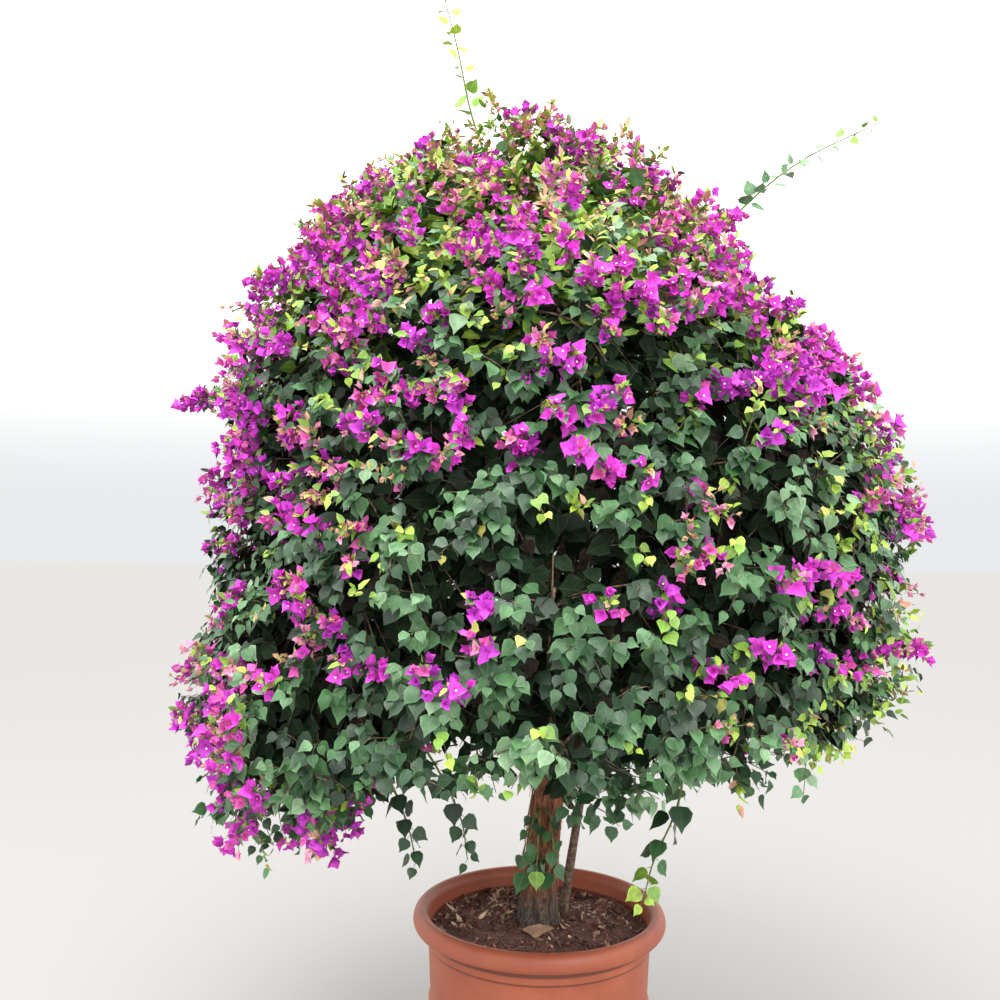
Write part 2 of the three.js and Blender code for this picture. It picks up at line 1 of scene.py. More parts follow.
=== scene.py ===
"""Looks of a bougainvillea trained as a round-headed bush, in a round terracotta-coloured planter.

Metres, +Z up. The origin is the middle of the planter's flat underside, and -Y is the bush's front. The
crown's outline, its masses and its limbs follow the same rule and sizes as the solids, and are carried on to
finer twigs, leaves and blossom.
"""

import math
from collections import namedtuple

import bpy
import numpy as np
from mathutils import Matrix, Vector


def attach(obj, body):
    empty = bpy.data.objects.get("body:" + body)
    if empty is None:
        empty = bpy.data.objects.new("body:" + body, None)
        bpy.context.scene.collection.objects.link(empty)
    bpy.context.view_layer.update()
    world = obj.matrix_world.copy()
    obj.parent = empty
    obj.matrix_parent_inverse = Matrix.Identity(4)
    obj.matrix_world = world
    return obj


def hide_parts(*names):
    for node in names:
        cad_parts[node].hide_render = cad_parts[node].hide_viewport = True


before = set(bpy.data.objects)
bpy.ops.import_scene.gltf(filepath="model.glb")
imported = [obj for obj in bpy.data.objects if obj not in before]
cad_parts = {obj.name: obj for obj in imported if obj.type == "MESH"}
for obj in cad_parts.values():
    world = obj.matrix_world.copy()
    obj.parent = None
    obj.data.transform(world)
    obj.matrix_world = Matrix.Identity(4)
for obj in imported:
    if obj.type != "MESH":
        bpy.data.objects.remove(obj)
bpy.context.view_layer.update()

# Planter
POT_HEIGHT = 0.525
POT_SIDES = 128
RIM_RADIUS = 0.350
RIM_DEPTH = 0.048
MOUTH_RADIUS = 0.305
NECK_RADIUS = 0.309
RIM_BELLY = 0.018
RIM_UNDERCUT = 48  # degrees
NECK_BAND = 0.042
NECK_STEP = 0.004
BASE_RADIUS = 0.287
FOOT_HEIGHT = 0.027
FOOT_STEP = 0.004
BEAD_HEIGHT = 0.278
BEAD_OUT = 0.006
BEAD_HALF = 0.008
POT_WALL = 0.008
POT_FLOOR = 0.012
BASE_RING = 0.15  # radius of a ring of points across the underside and the floor

# Soil and the litter on it
SOIL_HEIGHT = 0.474
SOIL_DIP = 0.009  # how far the soil falls towards the wall, from which radius on and over what width
SOIL_DIP_START = 0.16
SOIL_DIP_WIDTH = 0.14
CRUMBS = ((0.0035, 0.05, 31), (0.0022, 0.018, 32), (0.0016, 0.008, 33))  # height, size and seed
SOIL_RINGS = 56
SOIL_SIDES = 160
CHIPS = 5600
CHIP_LENGTH = (0.004, 0.024)  # the least, and what the longest have more
SLIVER_SHARE = 0.4  # how many of them are slivers; the widths are shares of the length
SLIVER_WIDTH = (0.16, 0.4)
SCRAP_WIDTH = (0.6, 1.1)
DRY_LEAF_LENGTH = 0.078
DRY_LEAF_PLACE = (-0.022, -0.185, 0.477)
DRY_LEAF_WAY = (0.16, 0.72, 0.56)
DRY_LEAF_FACING = (-0.35, -0.55, 0.75)

# Trunk and second stem
TRUNK_FOOT = (-0.004, 0.0, 0.4743)
TRUNK_TOP = (0.044, 0.014, 0.985)
TRUNK_FOOT_RADIUS = 0.046
TRUNK_TOP_RADIUS = 0.042
TRUNK_HEAD = 0.72
FLARE = 0.3
FLARE_HEIGHT = 0.055
ROOT_LOBES = 0.45
FLUTES = 0.06
RIDGES = 0.04
HEAD_SWELL = 0.35
SECOND_FOOT = (0.072, 0.062, 0.472)
SECOND_BEND = (0.112, 0.084, 0.850)
TRUNK_RINGS = 220
TRUNK_SIDES = 150
TRUNK_BARK = 0.0045  # mean height of the bark's relief, which the trunk's radius takes in
BARK_ROPES = 0.0045  # relief of the long strands, of the fibres between them and of the grit on both
BARK_FIBRES = 0.0028
BARK_GRIT = 0.0007
BARK_STRIPS = 320
STRIP_FOOT = (0.12, 0.86)  # where the loose strips start and how long they are, as shares of the trunk
STRIP_LENGTH = (0.10, 0.30)
STRIP_LIFT = (0.002, 0.012)
STRIP_WIDTH = (0.0012, 0.0036)
STRIP_RIDGE = 0.0012
STRIP_STEPS = 6

# Boughs: how far each kind arches up, and its radius where it starts and at the middle of its mass
LEADER = (0.060, 0.036, 0.012)
BOUGH = (0.150, 0.027, 0.011)
LOW_BOUGH = (0.130, 0.016, 0.009)
HIGH_BOUGH = (0.170, 0.018, 0.009)
TOP_BOUGH = (0.120, 0.015, 0.008)
SECOND_STEM = (0.0, 0.013, 0.009)
ARCH_SHARE = 0.42  # how far along its way a limb bends
LEADER_FORK = 0.9  # where along its parent each kind forks off
BOUGH_FORKS = (0.92, 0.8)
LOW_FORKS = (0.4, 0.3)
HIGH_FORK = 0.2
TOP_FORK = 0.52
FORK_STEP = 0.04
LIMB_RINGS = 48
LIMB_SIDES = 18
LIMB_RELIEF = 0.05  # share of the radius

# Crown
CROWN_TOP = 2.685
CROWN_WAIST = 1.250
CROWN_RADIUS = 0.950
DOME_BEND = 2.4  # how full the dome's shoulders are, and how round it closes
DOME_ROUND = 0.5
TUCK = 0.8  # how fast the crown narrows under its waist
TOP_SLOPE = 0.9
SWAY = 0.050  # the crown's axis swings this far to each side, over this length, from this height
SWAY_LENGTH = 1.400
SWAY_FOOT = 1.300
SKIRT_HEIGHT = 0.985  # the crown's lower edge: its height, its five waves and its rise towards the middle
SKIRT_WAVE = 0.028
SKIRT_SLOPE = 0.12
EDGE_SHARE = 0.6  # how steeply the crown closes at that edge
SKIRT_SWELLS = ((212, 24, -0.185), (257, 14, 0.085), (350, 35, 0.110))  # side, width and lift
SHOULDER_DIP = 0.110  # the right shoulder sinks this much round this height
DIP_HEIGHT = 2.400
DIP_SPREAD = 0.380
HOLLOW_RADIUS = 0.480  # the bare hollow inside the crown
HOLLOW_FOOT = 0.800
HOLLOW_RISE = 1.120
VALLEY = 0.042  # how deep the leafy face sinks between masses
VALLEY_WIDTH = 0.070
CLEFT_HEIGHT = 2.250
CLEFT_RISE = 0.250
CLEFT = 0.9  # how much deeper the folds are above that height
LEAF_ZONE = 0.075  # ends further than this under the face are left out
SIDE_GAP = 0.004  # twigs keep this far from a neighbouring mass

# Rings of masses: height, how far out their middles lie, number, first angle in degrees
Ring = namedtuple("Ring", "name height out count turn")
RINGS = (
    Ring("skirt", 1.195, 0.735, 7, 219),
    Ring("waist", 1.590, 0.665, 6, 240),
    Ring("shoulder", 1.975, 0.550, 5, 270),
    Ring("upper", 2.290, 0.360, 3, 335),
    Ring("head", 2.470, 0.070, 1, 170),
)

# Growth: how many directions are tried from a mass's middle, how far apart the ends lie, how far they stay
# under the crown's face, and the twig's radius at its foot and tip
Order = namedtuple("Order", "tries spacing cover start end")
MAIN_TWIGS = Order(110, 0.295, 0.110, 0.0060, 0.0034)
SIDE_TWIGS = Order(320, 0.135, 0.075, 0.0034, 0.0018)
DEEP_SPRAYS = Order(900, 0.082, 0.185, 0.0015, 0.0008)
SHADE_SPRAYS = Order(1200, 0.066, 0.105, 0.0015, 0.0008)
SPRAYS = Order(1900, 0.053, 0.022, 0.0017, 0.0009)
TWIG_BOW = 0.14  # how far twigs bow outwards and up and wander, as shares of their length
TWIG_RISE = 0.18
TWIG_WANDER = 0.09
RUN_BOW = 0.22  # the same for thin bare runs, which sag
RUN_SAG = 0.16
RUN_WANDER = 0.20
LUMP = 0.034  # the leafy face swells and sinks this much
LUMP_SIZE = 0.16
UNEVEN = (-0.012, 0.020)  # and each spray stands back or out by this
GAP_SIZE = 0.11  # the leafy face has gaps about this wide, where this share of the sprays stays
GAP_LIMIT = -1.0
GAP_SHARE = 0.40
HEAD_SINK = 0.022  # blossom stands this much above the sprays of the head
TRUNK_GAP = (-0.030, 0.065, 1.075)  # in front of the trunk the leafy edge is open: middle, half width and top
WILD_SHARE = 0.07  # sprays that stand out of the face, most of them at the head
WILD_REACH = (0.015, 0.045)
SPRAY_LEAVES = 7
SHADE_LEAVES = 6
DEEP_LEAVES = 8
INNER_LEAVES = 5
TUFT_LEAVES = 9
TUFT_LENGTH = (0.016, 0.036)
BARE_RUNS = 26  # thin leafless twigs that cross the gaps of each mass
BARE_COVER = 0.085
BARE_RADII = (0.0015, 0.0008)
BARE_REACH = (0.16, 0.42)

# Leaves, bracts and flowers
LEAF_LENGTH = 0.0435
FIRST_LEAF = 0.22  # share of the spray that is bare at its foot
LEAF_SIZES = (1.10, 0.66)  # from a spray's foot to its tip
LEAF_FOLD = (-0.12, 0.30)
LEAF_CURL = (-0.02, 0.30)
LEAF_WIDTH = (0.86, 1.12)
LEAF_STALK = 0.30  # share of the leaf's length
LEAF_TURN = 2.4  # radians round the twig from one leaf to the next
HEAD_FOOT = 1.93  # young growth takes over from this height up
HEAD_RISE = 0.30
DEEP_LENGTH = 0.080  # leaves in the dark stand for several
BRACT_LENGTH = 0.0275
RUFFLE = 0.16  # waviness of a bract's edges
SHOOT_REACH = 0.095  # length of the flowering end of a twig
GROUPS = (5, 14)  # how many groups of bracts it carries, and how long their stalks are
GROUP_STALK = (0.008, 0.026)
SHOOT_STEPS = 14
WHIP_RADII = (0.0040, 0.0012)
LEAF_STALK_RADII = (0.0010, 0.0007)
BRACT_STALK_RADII = (0.0008, 0.0006)
BRACT_FLARE = (0.32, 0.92)  # how far bracts open, in radians
STAR_POINTS = 5
STAR_RADIUS = 0.0032
STAR_TUBE = 0.0007  # half width of the tube under the star
STAR_RISE = 0.0012

# Where it flowers: the share of sprays that do, low down, at the head, at each side and on the low left lobe
BLOOM_LEAST = 0.045
BLOOM_HEAD = 0.88
BLOOM_FOOT = 1.0
BLOOM_RISE = 1.45
BLOOM_LEFT = 0.25
BLOOM_RIGHT = 0.05
BLOOM_DRIFT = 0.15
LOBE_BLOOM = 0.44
LOBE_SIDE = 223  # degrees
LOBE_WIDTH = 19
LOBE_TOP = 1.45

# Stage
FLOOR_SIZE = 60.0
CAMERA_PLACE = (-0.122, -2.949, 1.610)
CAMERA_PITCH = 0.85  # degrees above level
CAMERA_ROLL = 0.65
LENS = 37.8  # millimetres
SENSOR = 36
SKY_STRENGTH = 2.0
OVERHEAD = ((-0.9, -1.8, 5.4), (0, 0, 2.0), 4.0, 210)  # place, target, width and watts
FRONT_FILL = ((2.6, -4.6, 3.0), (0, 0, 1.4), 3.0, 95)

MOST_TRIANGLES = 190000  # in one piece

up = np.array([0.0, 0.0, 1.0])


# Vectors, curves and smooth noise


def unit(vectors):
    return vectors / np.maximum(np.linalg.norm(vectors, axis=-1, keepdims=True), 1e-12)


def dot(a, b):
    return np.sum(a * b, axis=-1, keepdims=True)


def off_axis(vectors, axis):
    """The part of each vector that is square to its axis, at length 1."""
    return unit(vectors - axis * dot(vectors, axis))


def quadratic(a, b, c, share):
    """Points on the quadratic curves from a past b to c, with the shares along the second last axis."""
    share = np.asarray(share)[..., None]
    return a * (1 - share) ** 2 + b * 2 * share * (1 - share) + c * share**2


def through(points, shares):
    """Points at these shares of a smooth curve that passes through the given points."""
    points = np.asarray(points, float)
    ends = np.vstack([2 * points[0] - points[1], points, 2 * points[-1] - points[-2]])
    place = np.clip(np.asarray(shares), 0, 1) * (len(points) - 1)
    first = np.minimum(place.astype(int), len(points) - 2)
    t = (place - first)[:, None]
    a, b, c, d = (ends[first + k] for k in range(4))
    bend = (2 * a - 5 * b + 4 * c - d) * t**2 + (3 * b - a - 3 * c + d) * t**3
    return b + 0.5 * ((c - a) * t + bend)


def drift(points, size, seed):
    """A smooth field with humps about `size` across, mostly between -1 and 1."""
    random = np.random.default_rng(seed)
    waves = unit(random.normal(size=(14, 3))) * random.uniform(0.5, 1.5, (14, 1)) * math.pi / size
    phases = random.uniform(0, math.tau, 14)
    return np.sin(points @ waves.T + phases).sum(-1) / math.sqrt(14)


def angles_round(count):
    """Angles spread evenly over a full turn."""
    return math.tau * np.arange(count) / count


def round_axis(radius, angle, height):
    """Places at these radii and angles round the upright axis."""
    parts = np.broadcast_arrays(radius * np.cos(angle), radius * np.sin(angle), height)
    return np.stack(parts, axis=-1)


def spokes(axes, turn, guide=(0.3, 1.0, 0.2)):
    """The direction square to each axis, at this angle round it from the guide."""
    side = off_axis(np.broadcast_to(guide, axes.shape), axes)
    return side * np.cos(turn) + np.cross(axes, side) * np.sin(turn)


def even_directions(count):
    """Directions spread evenly over a ball."""
    i = np.arange(count)
    z = 1 - (2 * i + 1) / count
    return round_axis(np.sqrt(1 - z * z), math.pi * (3 - math.sqrt(5)) * i, z)


def draws(random, count, *spans):
    """One row of even draws over each span."""
    return [random.uniform(*span, count) for span in spans]


def spaced(points, least):
    """Indices of points taken in order so that no two lie nearer than `least`."""
    kept = []
    for i, place in enumerate(points):
        if not kept or np.min(np.sum((points[kept] - place) ** 2, axis=1)) > least * least:
            kept.append(i)
    return np.array(kept, int)


# Meshes from arrays


def in_scene(name, data):
    made = bpy.data.objects.new(name, data)
    bpy.context.scene.collection.objects.link(made)
    return made


def mesh_object(name, part, materials):
    """A smooth object. Its part is points, faces, each face's material and each point's place on its leaf."""
    points, faces, look, blade = (*part, None, None)[:4]
    mesh = bpy.data.meshes.new(name)
    mesh.from_pydata(np.asarray(points, float), [], np.asarray(faces, int))
    for one in materials:
        mesh.materials.append(one)
    if look is not None:
        mesh.polygons.foreach_set("material_index", np.asarray(look, np.int32))
    if blade is not None:
        layer = mesh.uv_layers.new(name="blade")
        layer.data.foreach_set("uv", np.asarray(blade, np.float32)[np.asarray(faces).ravel()].ravel())
    mesh.polygons.foreach_set("use_smooth", np.ones(len(mesh.polygons), bool))
    mesh.update()
    made = in_scene(name, mesh)
    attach(made, "root")
    return made


def copies(shape_points, shape_faces):
    """Flattens (n, p, 3) points of n copies of one shape into points and faces."""
    count, each = shape_points.shape[:2]
    faces = shape_faces[None] + (np.arange(count) * each)[:, None, None]
    return shape_points.reshape(-1, 3), faces.reshape(-1, 3)


def joined(parts):
    """Joins (points, faces, look, blade) parts into one."""
    points, faces, looks, places = zip(*parts)
    starts = np.cumsum([0, *map(len, points)])
    faces = [own + start for own, start in zip(faces, starts)]
    looks = [np.broadcast_to(look, len(own)) for look, own in zip(looks, faces)]
    places = [np.full((len(own), 2), 0.5) if place is None else place for place, own in zip(places, points)]
    return np.vstack(points), np.vstack(faces), np.concatenate(looks), np.vstack(places)


def sheet_faces(rows, columns, closed=True):
    """Triangles between rows of points, each row closed into a ring or left open."""
    here = np.arange(columns if closed else columns - 1)
    beside = (here + 1) % columns
    corners = [here, beside, beside + columns, here, beside + columns, here + columns]
    row = np.stack(corners, axis=-1).reshape(-1, 3)
    return (row + columns * np.arange(rows - 1)[:, None, None]).reshape(-1, 3)


def tube_faces(rings, sides):
    """Triangles of one closed tube whose points run ring by ring."""
    faces = sheet_faces(rings, sides).tolist()
    last = (rings - 1) * sides
    for k in range(1, sides - 1):
        faces += [(0, k + 1, k), (last, last + k, last + k + 1)]
    return np.array(faces)


def tubes(lines, radii, sides):
    """Closed tubes along (n, m, 3) lines, with (n, m) or (n, m, sides) radii."""
    radii = np.asarray(radii)
    if radii.ndim == 2:
        radii = radii[..., None]
    along = unit(np.gradient(lines, axis=1))[:, :, None]
    guide = unit(np.cross(along[:, :1], [0.31, 0.92, 0.24]))
    spoke = spokes(along, angles_round(sides)[:, None], guide)
    points = lines[:, :, None] + spoke * radii[..., None]
    return copies(points.reshape(len(lines), -1, 3), tube_faces(lines.shape[1], sides))


def over_tube(rings, sides):
    """Shares along a tube and angles round it, over its whole face."""
    return np.broadcast_arrays(np.linspace(0, 1, rings)[:, None], angles_round(sides)[None])


# The crown's outline, and the masses that share it


def crown_radius(z):
    below = 1 - TUCK * (CROWN_WAIST - z) ** 2
    share = np.clip((z - CROWN_WAIST) / (CROWN_TOP - CROWN_WAIST), 0, 1)
    above = (1 - share**DOME_BEND) ** DOME_ROUND
    return CROWN_RADIUS * np.where(z < CROWN_WAIST, below, above)


def crown_sway(z):
    return SWAY * np.sin(math.tau * (z - SWAY_FOOT) / SWAY_LENGTH)


def skirt_height(angle):
    height = SKIRT_HEIGHT + SKIRT_WAVE * np.sin(5 * angle)
    for side, width, lift in SKIRT_SWELLS:
        off = (np.degrees(angle) - side + 180) % 360 - 180
        height = height + lift * np.exp(-((off / width) ** 2))
    return height


def depth_in_shell(places):
    """How far places lie under the crown's outer face, and how far outside its hollow."""
    z = places[..., 2]
    x = places[..., 0] - crown_sway(z)
    y = places[..., 1]
    radius = np.hypot(x, y)
    right = np.maximum(0, x / np.maximum(radius, 0.001)) ** 2
    dip = right * np.exp(-(((z - DIP_HEIGHT) / DIP_SPREAD) ** 2))
    side = crown_radius(z) - SHOULDER_DIP * dip - radius
    top = TOP_SLOPE * (CROWN_TOP - z)
    edge = skirt_height(np.arctan2(y, x)) + SKIRT_SLOPE * (CROWN_RADIUS - radius)
    hollow = np.hypot(radius / HOLLOW_RADIUS, np.maximum(0, z - HOLLOW_FOOT) / HOLLOW_RISE)
    outer = np.minimum(np.minimum(side, top), (z - edge) / EDGE_SHARE)
    return outer, (hollow - 1) * HOLLOW_RADIUS


def outward(places):
    """Directions in which the crown's outer face is nearest."""
    reach = 0.05
    slopes = []
    for axis in np.eye(3):
        ahead = depth_in_shell(places + axis * reach)[0]
        behind = depth_in_shell(places - axis * reach)[0]
        slopes.append(behind - ahead)
    return unit(np.stack(slopes, axis=-1))


Mass = namedtuple("Mass", "name ring index angle middle seed")


def masses_of(rings):
    masses = []
    for ring in rings:
        for i in range(ring.count):
            angle = math.radians(ring.turn) + math.tau * i / ring.count
            drop = (SKIRT_HEIGHT - skirt_height(angle)) / 2 if ring.name == "skirt" else 0
            z = ring.height - drop
            middle = np.array([ring.out * math.cos(angle) + crown_sway(z), ring.out * math.sin(angle), z])
            name = f"{ring.name}_mass_{i + 1}" if ring.count > 1 else f"{ring.name}_mass"
            masses.append(Mass(name, ring.name, i, angle, middle, 1009 + 97 * len(masses)))
    return masses


masses = masses_of(RINGS)


def ring_of(name):
    return [mass for mass in masses if mass.ring == name]


def distance_to_neighbour(mass, places):
    """Distance from places to the nearest plane halfway to another mass's middle."""
    least = np.full(places.shape[:-1], np.inf)
    for other in masses:
        if other is mass:
            continue
        between = other.middle - mass.middle
        gap = np.linalg.norm(between)
        least = np.minimum(least, gap / 2 - (places - mass.middle) @ between / gap)
    return least


def in_space(mass, places, cover, margin):
    """Whether places lie in the mass's space, `cover` under its outer face and `margin` from its sides."""
    neighbour = distance_to_neighbour(mass, places)
    outer, inner = depth_in_shell(places)
    cleft = 1 + CLEFT * np.clip((places[..., 2] - CLEFT_HEIGHT) / CLEFT_RISE, 0, 1)
    valley = VALLEY * cleft * np.exp(-((neighbour / VALLEY_WIDTH) ** 2))
    return (neighbour > margin) & (outer - valley > cover) & (inner > margin)


def reach_along(mass, directions, cover, margin):
    """How far rays from the mass's middle run before they leave its space."""
    step = 0.01
    reach = np.zeros(len(directions))
    running = np.ones(len(directions), bool)
    while running.any():
        ahead = mass.middle + directions * (reach + step)[:, None]
        running &= in_space(mass, ahead, cover, margin)
        reach[running] += step
    return np.maximum(reach, step)


# Limbs: each runs along one curve from its parent to the middle of a mass

Limb = namedtuple("Limb", "name mass start bend end start_radius end_radius")


def along_limb(limb, share):
    return quadratic(limb.start, limb.bend, limb.end, np.atleast_1d(share))


def arched_limb(name, start, mass, shape):
    """A limb that leaves its parent at `start` and arches up on its way."""
    rise, start_radius, end_radius = shape
    bend = start + (mass.middle - start) * ARCH_SHARE + up * rise
    return Limb(name, mass, start, bend, mass.middle, start_radius, end_radius)


def limbs_to(ring, kind, starts, shape):
    """Limbs of one kind, one to each mass of a ring."""
    pairs = enumerate(zip(starts, ring_of(ring)))
    return [arched_limb(f"{kind}_{i + 1}", start, mass, shape) for i, (start, mass) in pairs]


def along_trunk(share):
    foot = np.array(TRUNK_FOOT)
    top = np.array(TRUNK_TOP)
    bend = np.array([foot[0], foot[1], foot[2] + 0.4 * (top[2] - foot[2])])
    return quadratic(foot, bend, top, np.atleast_1d(share))


def nearest(angle, choices):
    return max(choices, key=lambda choice: math.cos(choice.angle - angle))


def limbs_of():
    leader = arched_limb("leader", along_trunk(LEADER_FORK)[0], ring_of("head")[0], LEADER)
    boughs = limbs_to("waist", "bough", along_trunk(3 * BOUGH_FORKS), BOUGH)
    carried = nearest(math.atan2(SECOND_FOOT[1], SECOND_FOOT[0]), ring_of("skirt"))
    foot, bend = np.array(SECOND_FOOT), np.array(SECOND_BEND)
    second = Limb("second_stem", carried, foot, bend, carried.middle, *SECOND_STEM[1:])
    low = []
    for mass in ring_of("skirt"):
        if mass is carried:
            continue
        parent = boughs[nearest(mass.angle, ring_of("waist")).index]
        start = along_limb(parent, LOW_FORKS[mass.index % 2])[0]
        low.append(arched_limb(f"low_bough_{len(low) + 1}", start, mass, LOW_BOUGH))
    forks = FORK_STEP * np.arange(5)
    high = limbs_to("shoulder", "high_bough", along_limb(leader, HIGH_FORK + forks), HIGH_BOUGH)
    top = limbs_to("upper", "top_bough", along_limb(leader, TOP_FORK + forks), TOP_BOUGH)
    return [leader, second, *boughs, *low, *high, *top]


limbs = limbs_of()


# Twigs: lines of three orders that grow on from each mass's middle, each order forking off the one before


def face_points(mass, order, random):
    """Ends of the twigs of one order, spread over the mass's outer face."""
    directions = even_directions(order.tries)
    if order in (SPRAYS, SHADE_SPRAYS, DEEP_SPRAYS):
        directions = unit(directions + random.normal(0, 0.02, directions.shape))
        directions = random.permutation(directions)
    reach = reach_along(mass, directions, order.cover, SIDE_GAP)
    ends = mass.middle + directions * reach[:, None]
    on_face = depth_in_shell(ends)[0] < order.cover + LEAF_ZONE
    ends = ends[on_face]
    return ends[spaced(ends, order.spacing)]


def curves(start, ends, bow, steps):
    """Curves from start to ends that bow off the straight way by this share of its length."""
    bend = (start + ends) / 2 + np.linalg.norm(ends - start, axis=1, keepdims=True) * bow
    return quadratic(start[:, None], bend[:, None], ends[:, None], np.linspace(0, 1, steps)[None])


def forked_lines(ends, parents, steps, random):
    """Curves to the ends from the nearest points of the parents' lines that lie deeper in the crown."""
    forks = parents.reshape(-1, 3)
    way = outward(ends)
    gap = ends[:, None] - forks[None]
    deeper = np.sum(gap * way[:, None], axis=-1)
    cost = np.linalg.norm(gap, axis=-1) + np.where(deeper < 0.025, 0.5, 0)
    wander = random.normal(0, TWIG_WANDER, ends.shape)
    bow = TWIG_BOW * way + TWIG_RISE * up + wander
    return curves(forks[np.argmin(cost, axis=1)], ends, bow, steps)


def bare_runs(mass, main, random):
    """Thin leafless twigs that leave the main ones and run along just under the leafy face."""
    forks = main[:, 2:].reshape(-1, 3)
    start = forks[random.integers(0, len(forks), BARE_RUNS)]
    aside = off_axis(random.normal(size=start.shape) + 0.5 * up, outward(start))
    reach = random.uniform(*BARE_REACH, (BARE_RUNS, 1))
    end = start + aside * reach
    end = end + outward(end) * (depth_in_shell(end)[0] - BARE_COVER)[:, None]
    inside = in_space(mass, end, 0.5 * BARE_COVER, SIDE_GAP)
    start, end = start[inside], end[inside]
    bow = RUN_BOW * outward(end) - RUN_SAG * up + random.normal(0, RUN_WANDER, end.shape)
    return curves(start, end, bow, 8)


def before_trunk(places):
    """Whether places lie in the gap in the crown's lower edge, through which the trunk shows."""
    middle, half, top = TRUNK_GAP
    return (np.abs(places[:, 0] - middle) < half) & (places[:, 1] < 0) & (places[:, 2] < top)


Growth = namedtuple("Growth", "mass main side bare deep shade sprays")


def grown(mass):
    """The orders of twigs of one mass, as (n, steps, 3) lines."""
    random = np.random.default_rng(mass.seed)
    ends = face_points(mass, MAIN_TWIGS, random)
    start = np.broadcast_to(mass.middle, ends.shape)
    main = curves(start, ends, random.normal(0, 0.05, ends.shape), 7)
    side = forked_lines(face_points(mass, SIDE_TWIGS, random), main[:, 2:], 6, random)
    bare = bare_runs(mass, main, random)
    deep = forked_lines(face_points(mass, DEEP_SPRAYS, random), main[:, 1:], 3, random)
    shade = forked_lines(face_points(mass, SHADE_SPRAYS, random), main[:, 2:], 3, random)
    ends = face_points(mass, SPRAYS, random)
    closed = drift(ends, GAP_SIZE, 9) > GAP_LIMIT
    ends = ends[closed | (random.random(len(ends)) < GAP_SHARE + 0.6 * head_share(ends))]
    ends = ends[~before_trunk(ends)]
    high = head_share(ends)
    swell = LUMP * (1 + 0.5 * high) * drift(ends, LUMP_SIZE, 5) + random.uniform(*UNEVEN, len(ends))
    wild = random.random(len(ends)) < WILD_SHARE * (0.4 + 0.5 * high)
    swell = swell + wild * random.uniform(*WILD_REACH, len(ends)) - HEAD_SINK * high
    ends = ends + outward(ends) * swell[:, None]
    parents = np.concatenate([main[:, 3:].reshape(-1, 3), side[:, 1:].reshape(-1, 3)])
    return Growth(mass, main, side, bare, deep, shade, forked_lines(ends, parents, 4, random))


# Leaves: a folded blade of four cross-sections on a thin stalk, or a plainer one for the shade inside

Blade = namedtuple("Blade", "across along faces")


def blade(sections, stalk):
    """A blade's outline as places across and along it, and its triangles.

    sections are (place along the blade, half width there).
    """
    across = [-0.014, 0.014, 0.0]
    along = [0.0, 0.0, stalk]
    faces = [(0, 1, 2)]
    left, middle, right = 2, 2, 2
    for at, half in sections:
        here = len(across)
        across += [-half, 0.0, half]
        along += [at, at, at]
        if left == middle:
            faces += [(middle, here + 1, here), (middle, here + 2, here + 1)]
        else:
            faces += [(left, middle, here + 1), (left, here + 1, here)]
            faces += [(middle, right, here + 2), (middle, here + 2, here + 1)]
        left, middle, right = here, here + 1, here + 2
    tip = len(across)
    across.append(0.0)
    along.append(1.0)
    faces += [(left, middle, tip), (middle, right, tip)]
    return Blade(np.array(across), np.array(along), np.array(faces))


LEAF = blade([(0.09, 0.28), (0.30, 0.42), (0.56, 0.33), (0.80, 0.10)], 0.05)
YOUNG_LEAF = blade([(0.30, 0.27), (0.68, 0.22)], 0.10)
SHADE_LEAF = blade([(0.34, 0.36), (0.68, 0.28)], 0.10)
BRACT = blade([(0.18, 0.27), (0.48, 0.41), (0.78, 0.20)], 0.02)


def blades(shape, look, roots, along, facing, length, fold, curl, wide=1.0, ruffle=0.0, feet=None):
    """Copies of a blade at the roots, as a part, with their stalks' feet there too unless feet are given.

    fold lifts a blade's edges, curl bends its tip back and ruffle waves its edges.
    """
    along = unit(along)
    facing = off_axis(facing, along)
    across = np.cross(along, facing)
    x = shape.across * np.broadcast_to(wide, len(roots))[:, None]
    lift = fold[:, None] * np.abs(x) - curl[:, None] * shape.along**2
    phase = 2.4 * np.arange(len(roots))[:, None] + 1.7 * np.sign(x)
    lift = lift + ruffle * np.sin(11 * shape.along + phase) * np.abs(x) / 0.35
    points = across[:, None] * x[..., None] + along[:, None] * shape.along[:, None]
    points = roots[:, None] + length[:, None, None] * (points + facing[:, None] * lift[..., None])
    if feet is not None:
        points[:, :2] += (feet - roots)[:, None]
    flat_points, faces = copies(points, shape.faces)
    edge = np.sign(shape.across) * (np.abs(shape.across) > 0.02)
    place = np.stack([0.5 + 0.5 * edge, shape.along], axis=-1)
    return flat_points, faces, np.repeat(look, len(shape.faces)), np.tile(place, (len(roots), 1))


